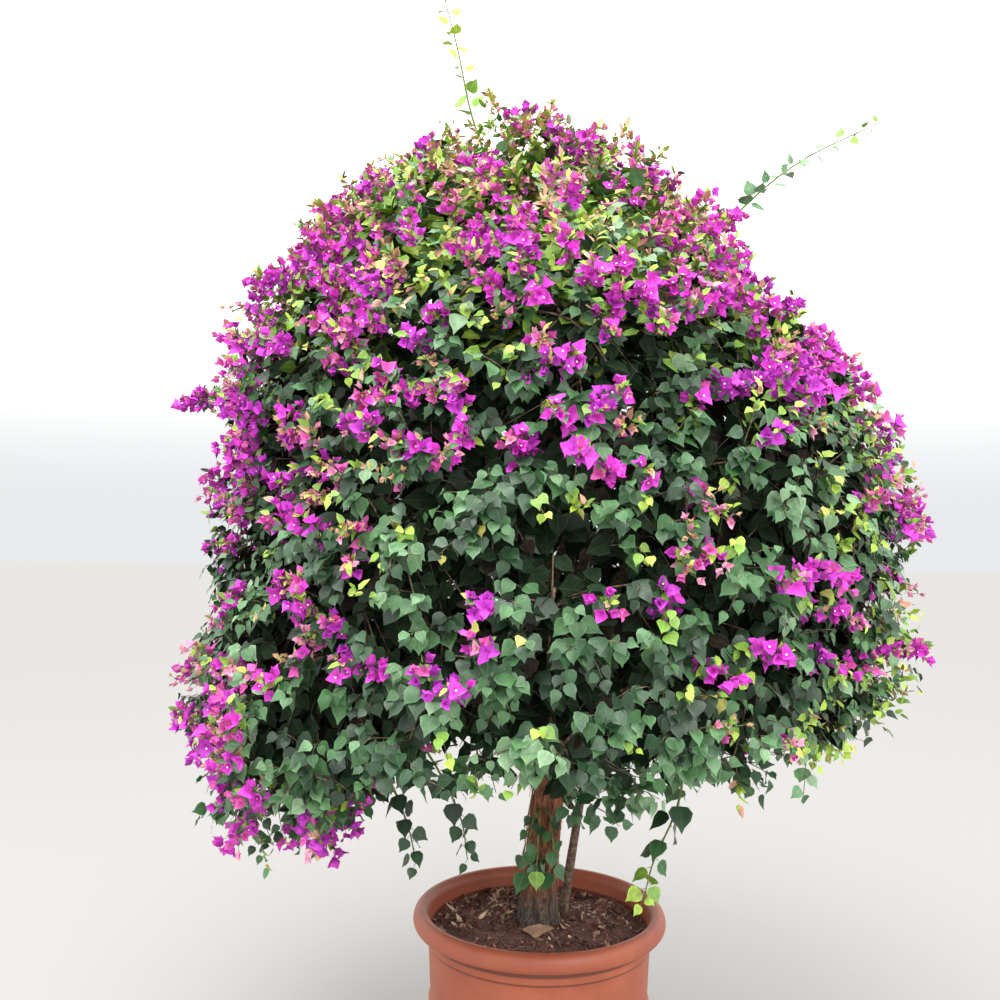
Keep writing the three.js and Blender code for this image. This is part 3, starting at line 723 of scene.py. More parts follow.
def leaf_axes(lines, shares, random, hang, spread=0.85):
    """Places on the twigs, stalk directions, growing directions and facings of leaves at these shares."""
    count, steps = lines.shape[:2]
    each = shares.shape[1]
    place = shares * (steps - 1)
    first = np.minimum(place.astype(int), steps - 2)
    part = (place - first)[..., None]
    row = np.arange(count)[:, None]
    below = lines[row, first]
    above = lines[row, first + 1]
    roots = below * (1 - part) + above * part
    twig = unit(above - below)
    way = outward(roots)
    turn = random.uniform(0, math.tau, (count, 1)) + LEAF_TURN * np.arange(each)
    turn = (turn + random.normal(0, 0.35, (count, each)))[..., None]
    round_twig = spokes(twig, turn)
    steep = 1 - np.abs(way[..., 2:])
    along = spread * round_twig + 0.40 * twig + 0.25 * way - up * hang * (0.10 + 1.25 * steep)
    along = unit(along) + random.normal(0, 0.22, along.shape)
    stalk = unit(round_twig + 0.35 * twig + 0.30 * way)
    level = way + up * np.maximum(0, -way[..., 2:]) * 0.8
    facing = 0.95 * level + 0.50 * up + random.normal(0, 0.32, along.shape)
    return [part.reshape(-1, 3) for part in (roots, stalk, along, facing)]


# Looks of leaves, from the painted shade of the crown's inside to young growth; a face's look is its place in
# this row
LEAF_LOOKS = {
    # umber and shade are painted shade: far darker than the leaves' own colour, they stand for the shade
    # inside the crown
    "umber": (44, 36, 32),
    "shade": (32, 46, 30),
    "deep": (30, 56, 32),
    "dark": (42, 76, 44),
    "mid": (60, 102, 56),
    "sage": (86, 128, 82),
    "pale": (112, 146, 104),
    "fresh": (124, 166, 60),
    "lime": (166, 198, 72),
    "yellow": (194, 190, 94),
    "blush": (206, 152, 126),
}


def numbers(looks, names):
    """Where the named looks stand in their row."""
    return [list(looks).index(name) for name in names.split()]


DEEP, PALE, FRESH, LIME, YELLOW = numbers(LEAF_LOOKS, "deep pale fresh lime yellow")


def head_share(places):
    """0 on the crown's sides, rising to 1 over its head, where growth is young."""
    return np.clip((places[:, 2] - HEAD_FOOT) / HEAD_RISE, 0, 1)


def right_share(places):
    """0 over most of the crown, rising to 1 at its right edge, where growth is young too."""
    return np.clip(places[:, 0] / CROWN_RADIUS, 0, 1) ** 2.4


def spray_looks(tips, random):
    """Each spray's main leaf look, dealt out in drifts over the crown."""
    tone = 0.55 * drift(tips, 0.20, 11) + random.normal(0, 0.85, len(tips))
    tone = tone + 0.35 * np.clip((1.5 - tips[:, 2]) / 0.5, 0, 1)
    steps = [tone < -0.8, tone < 0.0, tone < 0.85, tone < 1.55, tone < 2.0]
    look = np.select(steps, numbers(LEAF_LOOKS, "deep dark mid sage pale"), FRESH)
    bright = random.random(len(tips)) < 0.98 * head_share(tips) + 0.50 * right_share(tips)
    young = numbers(LEAF_LOOKS, "sage fresh lime yellow blush")
    fresh = random.choice(young, len(tips), p=[0.09, 0.31, 0.36, 0.13, 0.11])
    return np.where(bright, fresh, look)


def flush_chance(tips):
    """The chance that a spray ends in bright young growth: high at the head and on the right, in drifts."""
    height = np.clip((tips[:, 2] - 1.7) / 0.8, 0, 1)
    chance = 0.05 + 0.75 * height**1.5 + 0.45 * right_share(tips)
    return chance * np.clip(1 + 0.6 * drift(tips, 0.18, 29), 0.2, 2.0)


def spray_leaves(growth, random):
    """Leaves on the finest twigs, with young ones at the tips of some."""
    lines = growth.sprays
    tips = lines[:, -1]
    count = len(lines)
    steps = np.linspace(FIRST_LEAF, 1.0, SPRAY_LEAVES)
    shares = np.clip(steps + random.uniform(-0.06, 0.04, (count, SPRAY_LEAVES)), 0.1, 1.0)
    feet, stalk, along, facing = leaf_axes(lines, shares, random, 1.0, spread=0.9)
    size = np.broadcast_to(np.linspace(*LEAF_SIZES, SPRAY_LEAVES), (count, SPRAY_LEAVES)).ravel()
    total = count * SPRAY_LEAVES
    scale = np.repeat(1 - 0.26 * head_share(tips), SPRAY_LEAVES)
    length = LEAF_LENGTH * size * scale * random.uniform(0.76, 1.2, total)
    fold, curl, wide = draws(random, total, LEAF_FOLD, LEAF_CURL, LEAF_WIDTH)
    look = np.repeat(spray_looks(tips, random), SPRAY_LEAVES).reshape(count, SPRAY_LEAVES)
    stray = random.random(look.shape) < 0.35
    beside = np.clip(look + random.choice([-1, 1], look.shape), DEEP, PALE)
    look = np.where(stray, beside, look)
    young = random.random(count) < flush_chance(tips)
    look[young, -2:] = LIME
    look[young, -4:-2] = FRESH
    look[random.random(look.shape) < 0.004] = YELLOW
    length = length * np.where(np.isin(look.ravel(), [FRESH, LIME, YELLOW]), 0.8, 1.0)
    roots = feet + stalk * (LEAF_STALK * length)[:, None]
    return blades(LEAF, look, roots, along, facing, length, fold, curl, wide, 0.05, feet)


def inner_leaves(lines, each, first, length, random):
    """Plain leaves on the twigs under the crown's face, most of them painted dark as shade, and young bright
    ones over the head.
    """
    count = len(lines)
    shares = np.clip(np.linspace(first, 0.98, each) + random.uniform(-0.06, 0.06, (count, each)), 0.05, 1.0)
    roots, _, along, facing = leaf_axes(lines, shares, random, 0.7, spread=1.1)
    total = count * each
    sizes = length * random.uniform(0.85, 1.2, total)
    fold, curl = random.uniform(0, 0.3, (2, total))
    # Painted shade: most inner leaves take the umber and shade looks, darker than any leaf's own colour.
    look = random.choice(numbers(LEAF_LOOKS, "umber shade deep"), total, p=[0.13, 0.65, 0.22])
    young = random.random(total) < 0.9 * head_share(roots)
    look = np.where(young, random.choice(numbers(LEAF_LOOKS, "sage fresh lime"), total), look)
    return blades(SHADE_LEAF, look, roots, along, facing, sizes, fold, curl)


# Blossom: groups of three bracts, strung along the ends of flowering sprays

BRACT_LOOKS = {
    "magenta": (224, 72, 208),
    "purple": (202, 64, 202),
    "rose": (222, 98, 178),
    "pink": (236, 160, 190),
    "young": (210, 168, 130),
}


def bloom_chance(tips):
    """The chance that a spray flowers: high at the head, on the left and on the low lobe, in drifts."""
    z = tips[:, 2]
    x = (tips[:, 0] - crown_sway(z)) / CROWN_RADIUS
    height = np.clip((z - BLOOM_FOOT) / BLOOM_RISE, 0, 1)
    side = np.where(x < 0, BLOOM_LEFT * np.abs(x) ** 2, BLOOM_RIGHT * np.abs(x) ** 3)
    angle = np.degrees(np.arctan2(tips[:, 1], tips[:, 0])) % 360
    lobe = LOBE_BLOOM * np.exp(-(((angle - LOBE_SIDE) / LOBE_WIDTH) ** 2))
    lobe = lobe * np.clip((LOBE_TOP - z) / 0.25, 0, 1)
    low_middle = np.clip((1.3 - z) / 0.2, 0, 1) * (1 - np.clip(np.abs(x), 0, 1))
    chance = (BLOOM_LEAST + BLOOM_HEAD * height**1.5 + side) * (1 - 0.9 * low_middle)
    chance = chance * np.clip(1 + 0.75 * drift(tips, BLOOM_DRIFT, 23), 0.1, 2.2)
    return (1 - 0.35 * right_share(tips)) * (chance + lobe)


def bract_groups(centres, axes, random, look, length, youth):
    """Three papery bracts round each axis, opening outwards, narrow and closed where youth nears 1."""
    count = len(centres)
    turn = random.uniform(0, math.tau, count)
    flare = random.uniform(*BRACT_FLARE, count) * (1 - 0.5 * youth)
    parts = []
    for k in range(3):
        spoke = spokes(axes, (turn + math.tau * k / 3 + random.normal(0, 0.12, count))[:, None])
        open_by = (flare + random.normal(0, 0.12, count))[:, None]
        along = axes * np.cos(open_by) + spoke * np.sin(open_by)
        facing = axes * np.sin(open_by) - spoke * np.cos(open_by)
        size, fold, curl = draws(random, count, (0.85, 1.12), (0.1, 0.8), (-0.24, 0.30))
        shape = (length * size, fold, curl, 1 - 0.4 * youth, RUFFLE)
        parts.append(blades(BRACT, look, centres, along, facing, *shape))
    return parts


def star_flowers(centres, axes, length):
    """A white five-pointed star on a thin tube in the middle of each open group."""
    end = centres + axes * (0.42 * length)[:, None]
    half_tube = spokes(axes, 0.0) * STAR_TUBE
    points = [centres + half_tube, centres - half_tube, end, end + axes * STAR_RISE]
    corners = 2 * STAR_POINTS
    for k, angle in enumerate(angles_round(corners)):
        radius = STAR_RADIUS if k % 2 == 0 else 0.55 * STAR_RADIUS
        points.append(end + spokes(axes, angle) * radius)
    faces = [(0, 1, 2)] + [(3, 4 + k, 4 + (k + 1) % corners) for k in range(corners)]
    return copies(np.stack(points, axis=1), np.array(faces))


def flowering_way(way, twigs):
    """The way in which flowering ends grow on: outwards, on along the twig and up."""
    return unit(0.50 * way + 0.60 * twigs + 0.40 * up)


def blossom(tips, twigs, random):
    """Flowering ends: stalked groups of bracts, oldest at the foot, with stars in the open ones."""
    way = outward(tips)
    heads = flowering_way(way, twigs)
    number = random.integers(*GROUPS, len(tips))
    owner = np.repeat(np.arange(len(tips)), number)
    total = len(owner)
    rank = np.arange(total) - (np.cumsum(number) - number)[owner]
    share = (rank + random.uniform(0, 0.9, total)) / number[owner]
    reach = SHOOT_REACH * random.uniform(0.6, 1.2, len(tips)) * (0.5 + number / 18)
    reach = reach * (1 - 0.25 * head_share(tips))
    axis, out = heads[owner], way[owner]
    foot = tips[owner] + axis * ((share - 0.6) * reach[owner])[:, None]
    foot = foot - up * (0.018 * share**2 * (1 - np.abs(out[:, 2])))[:, None]
    spoke = spokes(axis, (LEAF_TURN * rank + random.normal(0, 0.4, total))[:, None])
    direction = unit(0.75 * spoke + 0.45 * axis + 0.40 * out + random.normal(0, 0.15, (total, 3)))
    centres = foot + direction * random.uniform(*GROUP_STALK, total)[:, None]
    axes = unit(direction + 0.25 * out + random.normal(0, 0.20, (total, 3)))
    ripe = random.uniform(0.35, 1.25, len(tips)) - 0.25 * np.clip((tips[:, 2] - 2.2) / 0.4, 0, 1)
    age = np.clip(ripe[owner] - 0.45 * share + random.normal(0, 0.10, total), 0, 1)
    hue = 0.6 * random.random(len(tips))[owner] + 0.4 * random.random(total)
    stages = [age < 0.14, age < 0.27, age < 0.42, hue < 0.38]
    look = np.select(stages, numbers(BRACT_LOOKS, "young pink rose purple"), 0)
    youth = 1 - np.clip(age / 0.45, 0, 1)
    length = BRACT_LENGTH * (1 - 0.45 * youth) * (1 - 0.16 * head_share(centres))
    length = length * random.uniform(0.86, 1.15, total)
    parts = bract_groups(centres, axes, random, look, length, youth)
    open_ones = (age > 0.5) & (random.random(total) < 0.45)
    stars = star_flowers(centres[open_ones], axes[open_ones], length[open_ones])
    return joined([*parts, (*stars, len(BRACT_LOOKS), None)]), np.stack([foot, centres], axis=1)


def tufts(tips, twigs, random):
    """Small narrow bright leaves among the blossom and at the ends of young growth."""
    owner = np.repeat(np.arange(len(tips)), TUFT_LEAVES)
    total = len(owner)
    way = outward(tips)[owner]
    axis = flowering_way(way, twigs[owner])
    along = unit(random.normal(size=(total, 3))) + 0.7 * axis + 0.3 * way
    roots = tips[owner] + axis * (SHOOT_REACH * random.uniform(-0.6, 0.4, total))[:, None]
    length = random.uniform(*TUFT_LENGTH, total)
    facing = way + 0.5 * up + random.normal(0, 0.3, (total, 3))
    fold, curl = draws(random, total, (0.1, 0.6), (-0.1, 0.3))
    young = numbers(LEAF_LOOKS, "fresh lime yellow sage mid blush")
    look = random.choice(young, total, p=[0.32, 0.30, 0.08, 0.10, 0.06, 0.14])
    look = np.where(random.random(total) < 0.22 * head_share(roots), young[-1], look)
    return blades(YOUNG_LEAF, look, roots, along, facing, length, fold, curl, 0.85)


# Shoots that stand out of the crown or hang from it

Shoot = namedtuple("Shoot", "name leaves sizes looks hang blossoms path")
SHOOTS = (
    Shoot("leader_shoot", 20, (0.055, 0.029), "fresh lime lime", 0.1, 0, [
        (-0.150, 0, 2.560), (-0.215, -0.005, 2.740), (-0.255, -0.008, 2.920), (-0.300, 0, 3.090),
    ]),
    Shoot("arching_shoot", 26, (0.050, 0.026), "sage pale fresh", 0.1, 0, [
        (0.420, -0.020, 2.330), (0.560, -0.020, 2.490), (0.720, -0.015, 2.620), (0.945, 0, 2.735),
    ]),
    Shoot("left_shoot", 12, (0.048, 0.025), "mid sage fresh", 0.2, 5, [
        (-0.430, -0.020, 2.260), (-0.540, -0.030, 2.370), (-0.625, -0.030, 2.440),
    ]),
    Shoot("left_low_shoot", 14, (0.048, 0.025), "mid sage dark", 0.4, 4, [
        (-0.600, -0.120, 1.895), (-0.770, -0.095, 1.940), (-0.880, -0.070, 1.938), (-0.965, -0.060, 1.915),
    ]),
    Shoot("hanging_sprig", 13, (0.074, 0.038), "dark mid fresh lime", 0.4, 0, [
        (0.330, -0.430, 1.130), (0.320, -0.400, 0.930), (0.262, -0.375, 0.770), (0.240, -0.365, 0.670),
    ]),
    # The shaded sprigs hang in the crown's shade; their deep and dark looks, darker than the other shoots',
    # are painted shade.
    Shoot("shaded_sprig_1", 13, (0.064, 0.034), "deep dark dark", 0.5, 0, [
        (-0.431, -0.388, 1.060), (-0.375, -0.345, 0.930), (-0.338, -0.318, 0.820), (-0.324, -0.300, 0.735),
    ]),
    Shoot("shaded_sprig_2", 13, (0.064, 0.034), "deep dark dark", 0.5, 0, [
        (-0.333, -0.475, 1.120), (-0.265, -0.370, 0.985), (-0.212, -0.285, 0.845), (-0.195, -0.250, 0.730),
    ]),
    Shoot("trunk_sprig", 6, (0.034, 0.062), "dark mid fresh", 1.0, 0, [
        (0, -0.020, 0.800), (-0.006, -0.072, 0.790), (-0.010, -0.106, 0.700), (-0.014, -0.104, 0.640),
    ]),
    Shoot("trunk_sprig", 8, (0.030, 0.058), "dark mid mid mid", 0.9, 0, [
        (-0.004, -0.020, 0.800), (-0.020, -0.074, 0.788), (-0.036, -0.092, 0.715), (-0.038, -0.096, 0.655),
    ]),
    Shoot("trunk_sprig", 8, (0.030, 0.056), "dark mid mid mid", 0.9, 0, [
        (0.006, -0.020, 0.800), (0.026, -0.072, 0.790), (0.032, -0.092, 0.715), (0.030, -0.094, 0.655),
    ]),
)


def shoot_parts(shoot, seed):
    """The whip's line, its leaves' stalks, its leaves and the places of its blossom clusters."""
    random = np.random.default_rng(seed)
    line = through(shoot.path, np.linspace(0, 1, SHOOT_STEPS))[None]
    shares = np.linspace(0.28, 1.0, shoot.leaves)[None]
    roots = leaf_axes(line, shares, random, shoot.hang)[0]
    near = np.minimum((shares[0] * SHOOT_STEPS).astype(int), SHOOT_STEPS - 1)
    twig = unit(np.gradient(line[0], axis=0))[near]
    turn = LEAF_TURN * np.arange(shoot.leaves) + random.normal(0, 0.3, shoot.leaves)
    round_twig = spokes(twig, turn[:, None], (0.0, 1.0, 0.2))
    along = unit(round_twig + 0.6 * twig - up * shoot.hang)
    stalk = 0.18 * max(shoot.sizes) * unit(round_twig + 0.5 * twig)
    stalks = np.stack([roots, roots + stalk], axis=1)
    roots = roots + stalk
    facing = np.array([0.0, -0.55, 0.6]) + random.normal(0, 0.25, along.shape)
    size = np.linspace(*shoot.sizes, shoot.leaves) * random.uniform(0.85, 1.15, shoot.leaves)
    fold, curl = draws(random, shoot.leaves, (-0.1, 0.3), (0.0, 0.30))
    looks = np.array(numbers(LEAF_LOOKS, shoot.looks))
    look = looks[np.arange(shoot.leaves) * len(looks) // shoot.leaves]
    leafy = blades(LEAF, look, roots, along, facing, size, fold, curl)
    return line, stalks, leafy, through(shoot.path, 1 - 0.1 * np.arange(shoot.blossoms))


# Bark


def limb_mesh(limb):
    """A limb with ridged bark, from its parent to the middle of its mass."""
    share, angle = over_tube(LIMB_RINGS, LIMB_SIDES)
    length = np.linalg.norm(limb.end - limb.start)
    place = round_axis(0.12, angle, share * length * 0.25)
    ridges = drift(place, 0.05, limb.mass.seed) + 0.5 * drift(place, 0.02, limb.mass.seed + 1)
    taper = limb.start_radius + (limb.end_radius - limb.start_radius) * share
    radii = taper * (1 + FLUTES * np.cos(3 * angle + 9 * share)) * (1 + LIMB_RELIEF * ridges)
    return tubes(along_limb(limb, share[:, 0])[None], radii[None], LIMB_SIDES)


def trunk_radius(share, angle):
    """The trunk's radius, with its root flare, its flutes and the swelling at its fork."""
    height = share * (TRUNK_TOP[2] - TRUNK_FOOT[2])
    roots = np.cos(5 * angle + 1)
    flare = FLARE * np.exp(-height / FLARE_HEIGHT) * (1 + ROOT_LOBES * roots)
    fluted = 1 + FLUTES * np.cos(3 * angle + 4 * share) + RIDGES * roots
    head = 1 + HEAD_SWELL * np.maximum(0, share - TRUNK_HEAD)
    taper = TRUNK_FOOT_RADIUS + (TRUNK_TOP_RADIUS - TRUNK_FOOT_RADIUS) * share
    return taper * fluted * head * (1 + flare)


def trunk_relief(share, angle):
    """Height of the shaggy bark over the trunk's face, in long upright fibres."""
    height = share * (TRUNK_TOP[2] - TRUNK_FOOT[2])
    twist = angle + 0.35 * share
    place = round_axis(0.05, twist, height * 0.16)
    ropes = 1 - np.abs(drift(place, 0.022, 71))
    fibres = 1 - np.abs(drift(place, 0.009, 72))
    grit = drift(round_axis(0.05, twist, height), 0.012, 73)
    return BARK_ROPES * ropes + BARK_FIBRES * fibres + BARK_GRIT * grit - TRUNK_BARK


def trunk_mesh():
    """The trunk with its shaggy bark, from the soil to its fork."""
    share, angle = over_tube(TRUNK_RINGS, TRUNK_SIDES)
    radii = trunk_radius(share, angle) + trunk_relief(share, angle)
    return tubes(along_trunk(share[:, 0])[None], radii[None], TRUNK_SIDES)


def bark_strips(random):
    """Thin flakes of bark along the trunk that have come loose at one end."""
    spans = ((0, math.tau), STRIP_FOOT, STRIP_LENGTH, STRIP_WIDTH, STRIP_LIFT)
    angle, low, long, wide, lift = draws(random, (BARK_STRIPS, 1), *spans)
    lift = lift * random.choice([0.4, 1.0], lift.shape)
    rise = np.linspace(0, 1, STRIP_STEPS)
    share = np.clip(low + long * rise, 0, 1)
    middle = along_trunk(share.ravel()).reshape(*share.shape, 3)
    around = angle + 0.25 * np.sin(3 * share + angle)
    radius = trunk_radius(share, around) + lift * (1 - rise) ** 2
    spoke = round_axis(1.0, around, 0.0)
    half = np.cross(up, spoke) * (wide * np.sin(math.pi * (0.15 + 0.75 * rise)))[..., None]
    centre = middle + spoke * radius[..., None]
    points = np.stack([centre - half, centre + spoke * STRIP_RIDGE, centre + half], axis=2)
    return copies(points.reshape(BARK_STRIPS, -1, 3), sheet_faces(STRIP_STEPS, 3, closed=False))


# Planter, soil and litter


def arc(middle, size, start, stop, steps):
    """Points of an ellipse's arc between two angles in degrees."""
    angle = np.radians(np.linspace(start, stop, steps))
    return [(middle[0] + size[0] * math.cos(a), middle[1] + size[1] * math.sin(a)) for a in angle]


def pot_radius(z):
    return BASE_RADIUS + (NECK_RADIUS - BASE_RADIUS) * z / (POT_HEIGHT - RIM_DEPTH)


def wall_line(start, stop, steps, out=0.0):
    """Points up the sloping wall, this far outside it."""
    return [(pot_radius(z) + out, z) for z in np.linspace(start, stop, steps)]


def pot_profile():
    """The planter's section, from the middle of its underside round its rim to the middle of its floor."""
    lip = POT_HEIGHT - RIM_DEPTH
    band = lip - NECK_BAND
    foot = BASE_RADIUS + FOOT_STEP
    profile = [(0.0, 0.0), (BASE_RING, 0.0), (foot - 0.006, 0.0)]
    profile += arc((foot - 0.005, 0.005), (0.005, 0.005), -90, 0, 6)
    profile += arc((foot - 0.003, FOOT_HEIGHT - 0.004), (0.004, 0.004), 0, 80, 5)
    profile += wall_line(FOOT_HEIGHT + 0.002, BEAD_HEIGHT - BEAD_HALF - 0.003, 10)
    for share in np.linspace(-1, 1, 11):
        z = BEAD_HEIGHT + share * BEAD_HALF
        profile.append((pot_radius(z) + BEAD_OUT * math.cos(share * math.pi / 2) ** 1.4, z))
    profile += wall_line(BEAD_HEIGHT + BEAD_HALF + 0.003, band - 0.003, 7)
    profile += arc((pot_radius(band) + NECK_STEP - 0.003, band + 0.003), (0.003, 0.003), -80, 0, 5)
    profile += [(pot_radius(z) + NECK_STEP, z) for z in (band + 0.012, lip - 0.002, lip)]
    centre = ((MOUTH_RADIUS + RIM_RADIUS) / 2, lip + RIM_BELLY)
    half = (RIM_RADIUS - MOUTH_RADIUS) / 2
    foot = RIM_BELLY / math.sin(math.radians(RIM_UNDERCUT))
    corner = centre[0] + half * math.cos(math.radians(RIM_UNDERCUT))
    profile += [(corner - 0.004, lip), (corner - 0.0012, lip + 0.0002)]
    profile += arc(centre, (half, foot), -RIM_UNDERCUT + 3, 0, 9)
    profile += arc(centre, (half, RIM_DEPTH - RIM_BELLY), 6, 180, 28)
    profile += [(NECK_RADIUS - POT_WALL + 0.001, lip + 0.004)]
    profile += wall_line(lip - 0.006, 0.030, 10, -POT_WALL)
    profile += [(BASE_RADIUS - POT_WALL - 0.012, POT_FLOOR), (BASE_RING, POT_FLOOR), (0.0, POT_FLOOR)]
    return np.array(profile)


def lathe(profile, sides):
    """A closed body turned about the upright axis from a section that starts and ends on it."""
    inner = profile[1:-1]
    rings = round_axis(inner[:, :1], angles_round(sides), inner[:, 1:]).reshape(-1, 3)
    points = np.vstack([rings, [0, 0, profile[0, 1]], [0, 0, profile[-1, 1]]])
    faces = sheet_faces(len(inner), sides).tolist()
    top = len(rings) - sides
    for k in range(sides):
        beside = (k + 1) % sides
        faces += [(len(rings), beside, k), (len(rings) + 1, top + k, top + beside)]
    return points, np.array(faces)


def soil_level(places):
    """Height of the crumbly soil over places at z 0."""
    radius = np.hypot(places[:, 0], places[:, 1])
    mound = SOIL_HEIGHT - SOIL_DIP * np.clip((radius - SOIL_DIP_START) / SOIL_DIP_WIDTH, 0, 1)
    return mound + sum(height * drift(places, size, seed) for height, size, seed in CRUMBS)


def soil_mesh():
    edge = pot_radius(SOIL_HEIGHT - SOIL_DIP) - POT_WALL + 0.002
    radius = edge * np.linspace(0, 1, SOIL_RINGS)[1:, None] ** 0.8
    rings = round_axis(radius, angles_round(SOIL_SIDES), 0.0).reshape(-1, 3)
    points = np.vstack([rings, np.zeros(3)])
    points[:, 2] = soil_level(points)
    faces = sheet_faces(SOIL_RINGS - 1, SOIL_SIDES)[:, ::-1].tolist()
    faces += [(len(rings), k, (k + 1) % SOIL_SIDES) for k in range(SOIL_SIDES)]
    return points, np.array(faces)


LITTER_LOOKS = {
    "crumb": (92, 62, 54),
    "brown": (130, 92, 76),
    "tan": (176, 138, 112),
    "straw": (206, 178, 150),
    "faded": (162, 104, 94),
}


def litter(random):
    """Dry leaf scraps, slivers, fallen bracts and crumbs on the soil, thickest at the back and in drifts."""
    reach = pot_radius(SOIL_HEIGHT) - POT_WALL - 0.010
    share, angle = draws(random, CHIPS, (0.03, 1), (0, math.tau))
    places = round_axis(reach * np.sqrt(share), angle, 0.0)
    back = np.clip(places[:, 1] / reach + 0.4, 0, 1)
    places = places[random.random(CHIPS) < 0.20 + 0.40 * back + 0.18 * drift(places, 0.07, 41)]
    count = len(places)
    sliver = random.random(count) < SLIVER_SHARE
    length = CHIP_LENGTH[0] + CHIP_LENGTH[1] * random.random(count) ** 2.6
    length = np.where(sliver, 1.5 * length, length)
    wide = np.where(sliver, *draws(random, count, SLIVER_WIDTH, SCRAP_WIDTH))
    roots = places + up * (soil_level(places) + 0.0012)[:, None]
    flat = random.normal(size=(count, 3)) * [1, 1, 0.16]
    facing = up + random.normal(0, 0.40, (count, 3))
    fold, curl = draws(random, count, (-0.6, 1.1), (-0.9, 0.5))
    look = random.choice(len(LITTER_LOOKS), count, p=[0.32, 0.28, 0.18, 0.11, 0.11])
    return blades(BRACT, look, roots, flat, facing, length, fold, curl, wide)


# A broad dry leaf on a long stalk, wider than it is long
DRY_LEAF = blade([(0.44, 0.05), (0.62, 0.27), (0.83, 0.60), (0.93, 0.36)], 0.42)


def dry_leaf():
    """One large dry leaf that leans up in front of the trunk."""
    look = numbers(LITTER_LOOKS, "tan")
    place, along, facing = np.array([[DRY_LEAF_PLACE], [DRY_LEAF_WAY], [DRY_LEAF_FACING]])
    length, fold, curl = np.array([[DRY_LEAF_LENGTH], [-0.10], [0.10]])
    return blades(DRY_LEAF, look, place, along, facing, length, fold, curl)


# Materials


def tint(red, green, blue):
    """A colour from its screen values, as light."""
    light = [((c / 255 + 0.055) / 1.055) ** 2.4 if c > 10 else c / 3294.6 for c in (red, green, blue)]
    return (*light, 1.0)


def shader_inputs(made):
    return made.node_tree.nodes["Principled BSDF"].inputs


def new_material(name, roughness, colour):
    made = bpy.data.materials.new(name)
    made.use_nodes = True
    shader_inputs(made)["Roughness"].default_value = roughness
    shader_inputs(made)["Base Color"].default_value = tint(*colour)
    return made, made.node_tree


def node(tree, kind, settings=None, **inputs):
    """Adds a shader node of this kind, with its settings and its inputs' values or links."""
    made = tree.nodes.new("ShaderNode" + kind)
    for key, value in (settings or {}).items():
        setattr(made, key, value)
    for key, value in inputs.items():
        socket = made.inputs[int(key[1:])] if key[0] == "i" and key[1:].isdigit() else made.inputs[key]
        if isinstance(value, bpy.types.NodeSocket):
            tree.links.new(value, socket)
        else:
            socket.default_value = value
    return made


def maths(tree, operation, a, b=0.0):
    return node(tree, "Math", {"operation": operation}, i0=a, i1=b).outputs[0]


def times(tree, a, b):
    return maths(tree, "MULTIPLY", a, b)


def fade(tree, value, start, stop):
    """0 where value is at start, 1 where it is at stop."""
    made = node(tree, "MapRange", {"interpolation_type": "SMOOTHSTEP"}, Value=value)
    made.inputs["From Min"].default_value = start
    made.inputs["From Max"].default_value = stop
    return made.outputs["Result"]


def blend(tree, factor, a, b):
    return node(tree, "Mix", {"data_type": "RGBA"}, i0=factor, i6=a, i7=b).outputs[2]


def place_in(tree, scale=(1.0, 1.0, 1.0)):
    """The surface's place in the object's own space, stretched by scale."""
    at = node(tree, "TexCoord").outputs["Object"]
    return node(tree, "Mapping", Vector=at, Scale=scale).outputs[0]


def noise(tree, place, scale, detail=3.0, roughness=0.55):
    made = node(tree, "TexNoise", Vector=place, Scale=scale, Detail=detail, Roughness=roughness)
    return made.outputs["Fac"]


def surfaced(made, colour, height, distance, strength=1.0):
    """Gives a material its colour and its relief."""
    tree = made.node_tree
    bump = node(tree, "Bump", Height=height, Distance=distance, Strength=strength)
    tree.links.new(colour, shader_inputs(made)["Base Color"])
    tree.links.new(bump.outputs[0], shader_inputs(made)["Normal"])
    return made


def shade_of(colour, factor):
    return (*(channel * factor for channel in colour[:3]), 1.0)


def veins(tree, pairs):
    """Lines along the midrib and the side veins of a blade, and its margin, as shares."""
    at = node(tree, "UVMap", {"uv_map": "blade"}).outputs[0]
    place = node(tree, "SeparateXYZ", Vector=at)
    off_middle = maths(tree, "ABSOLUTE", maths(tree, "SUBTRACT", place.outputs[0], 0.5))
    midrib = fade(tree, off_middle, 0.040, 0.010)
    slant = maths(tree, "SUBTRACT", place.outputs[1], times(tree, off_middle, 0.60))
    wave = maths(tree, "PINGPONG", times(tree, slant, pairs), 0.5)
    side = times(tree, fade(tree, wave, 0.075, 0.02), 0.55)
    edge = fade(tree, off_middle, 0.34, 0.50)
    return maths(tree, "MAXIMUM", midrib, side), edge


def blade_material(name, colour, roughness, vein_tint, vein_share, mottle, pairs=7.0, margin_highlight_share=0.0):
    """A leaf or bract: its colour mottled over the crown, with veins that stand proud, and a margin that can
    be painted paler as a highlight.
    """
    made, tree = new_material(name, roughness, colour)
    base = tint(*colour)
    patches = fade(tree, noise(tree, place_in(tree), 34.0, 2.0), 0.32, 0.68)
    body = blend(tree, patches, shade_of(base, 1 - mottle), shade_of(base, 1 + mottle))
    lines, edge = veins(tree, pairs)
    # Painted highlight: a paler margin, as if the leaf's curled edges caught the light.
    if margin_highlight_share:
        body = blend(tree, times(tree, edge, margin_highlight_share), body, tint(*vein_tint))
    body = blend(tree, times(tree, lines, vein_share), body, tint(*vein_tint))
    return surfaced(made, body, lines, 0.0006, 0.6)


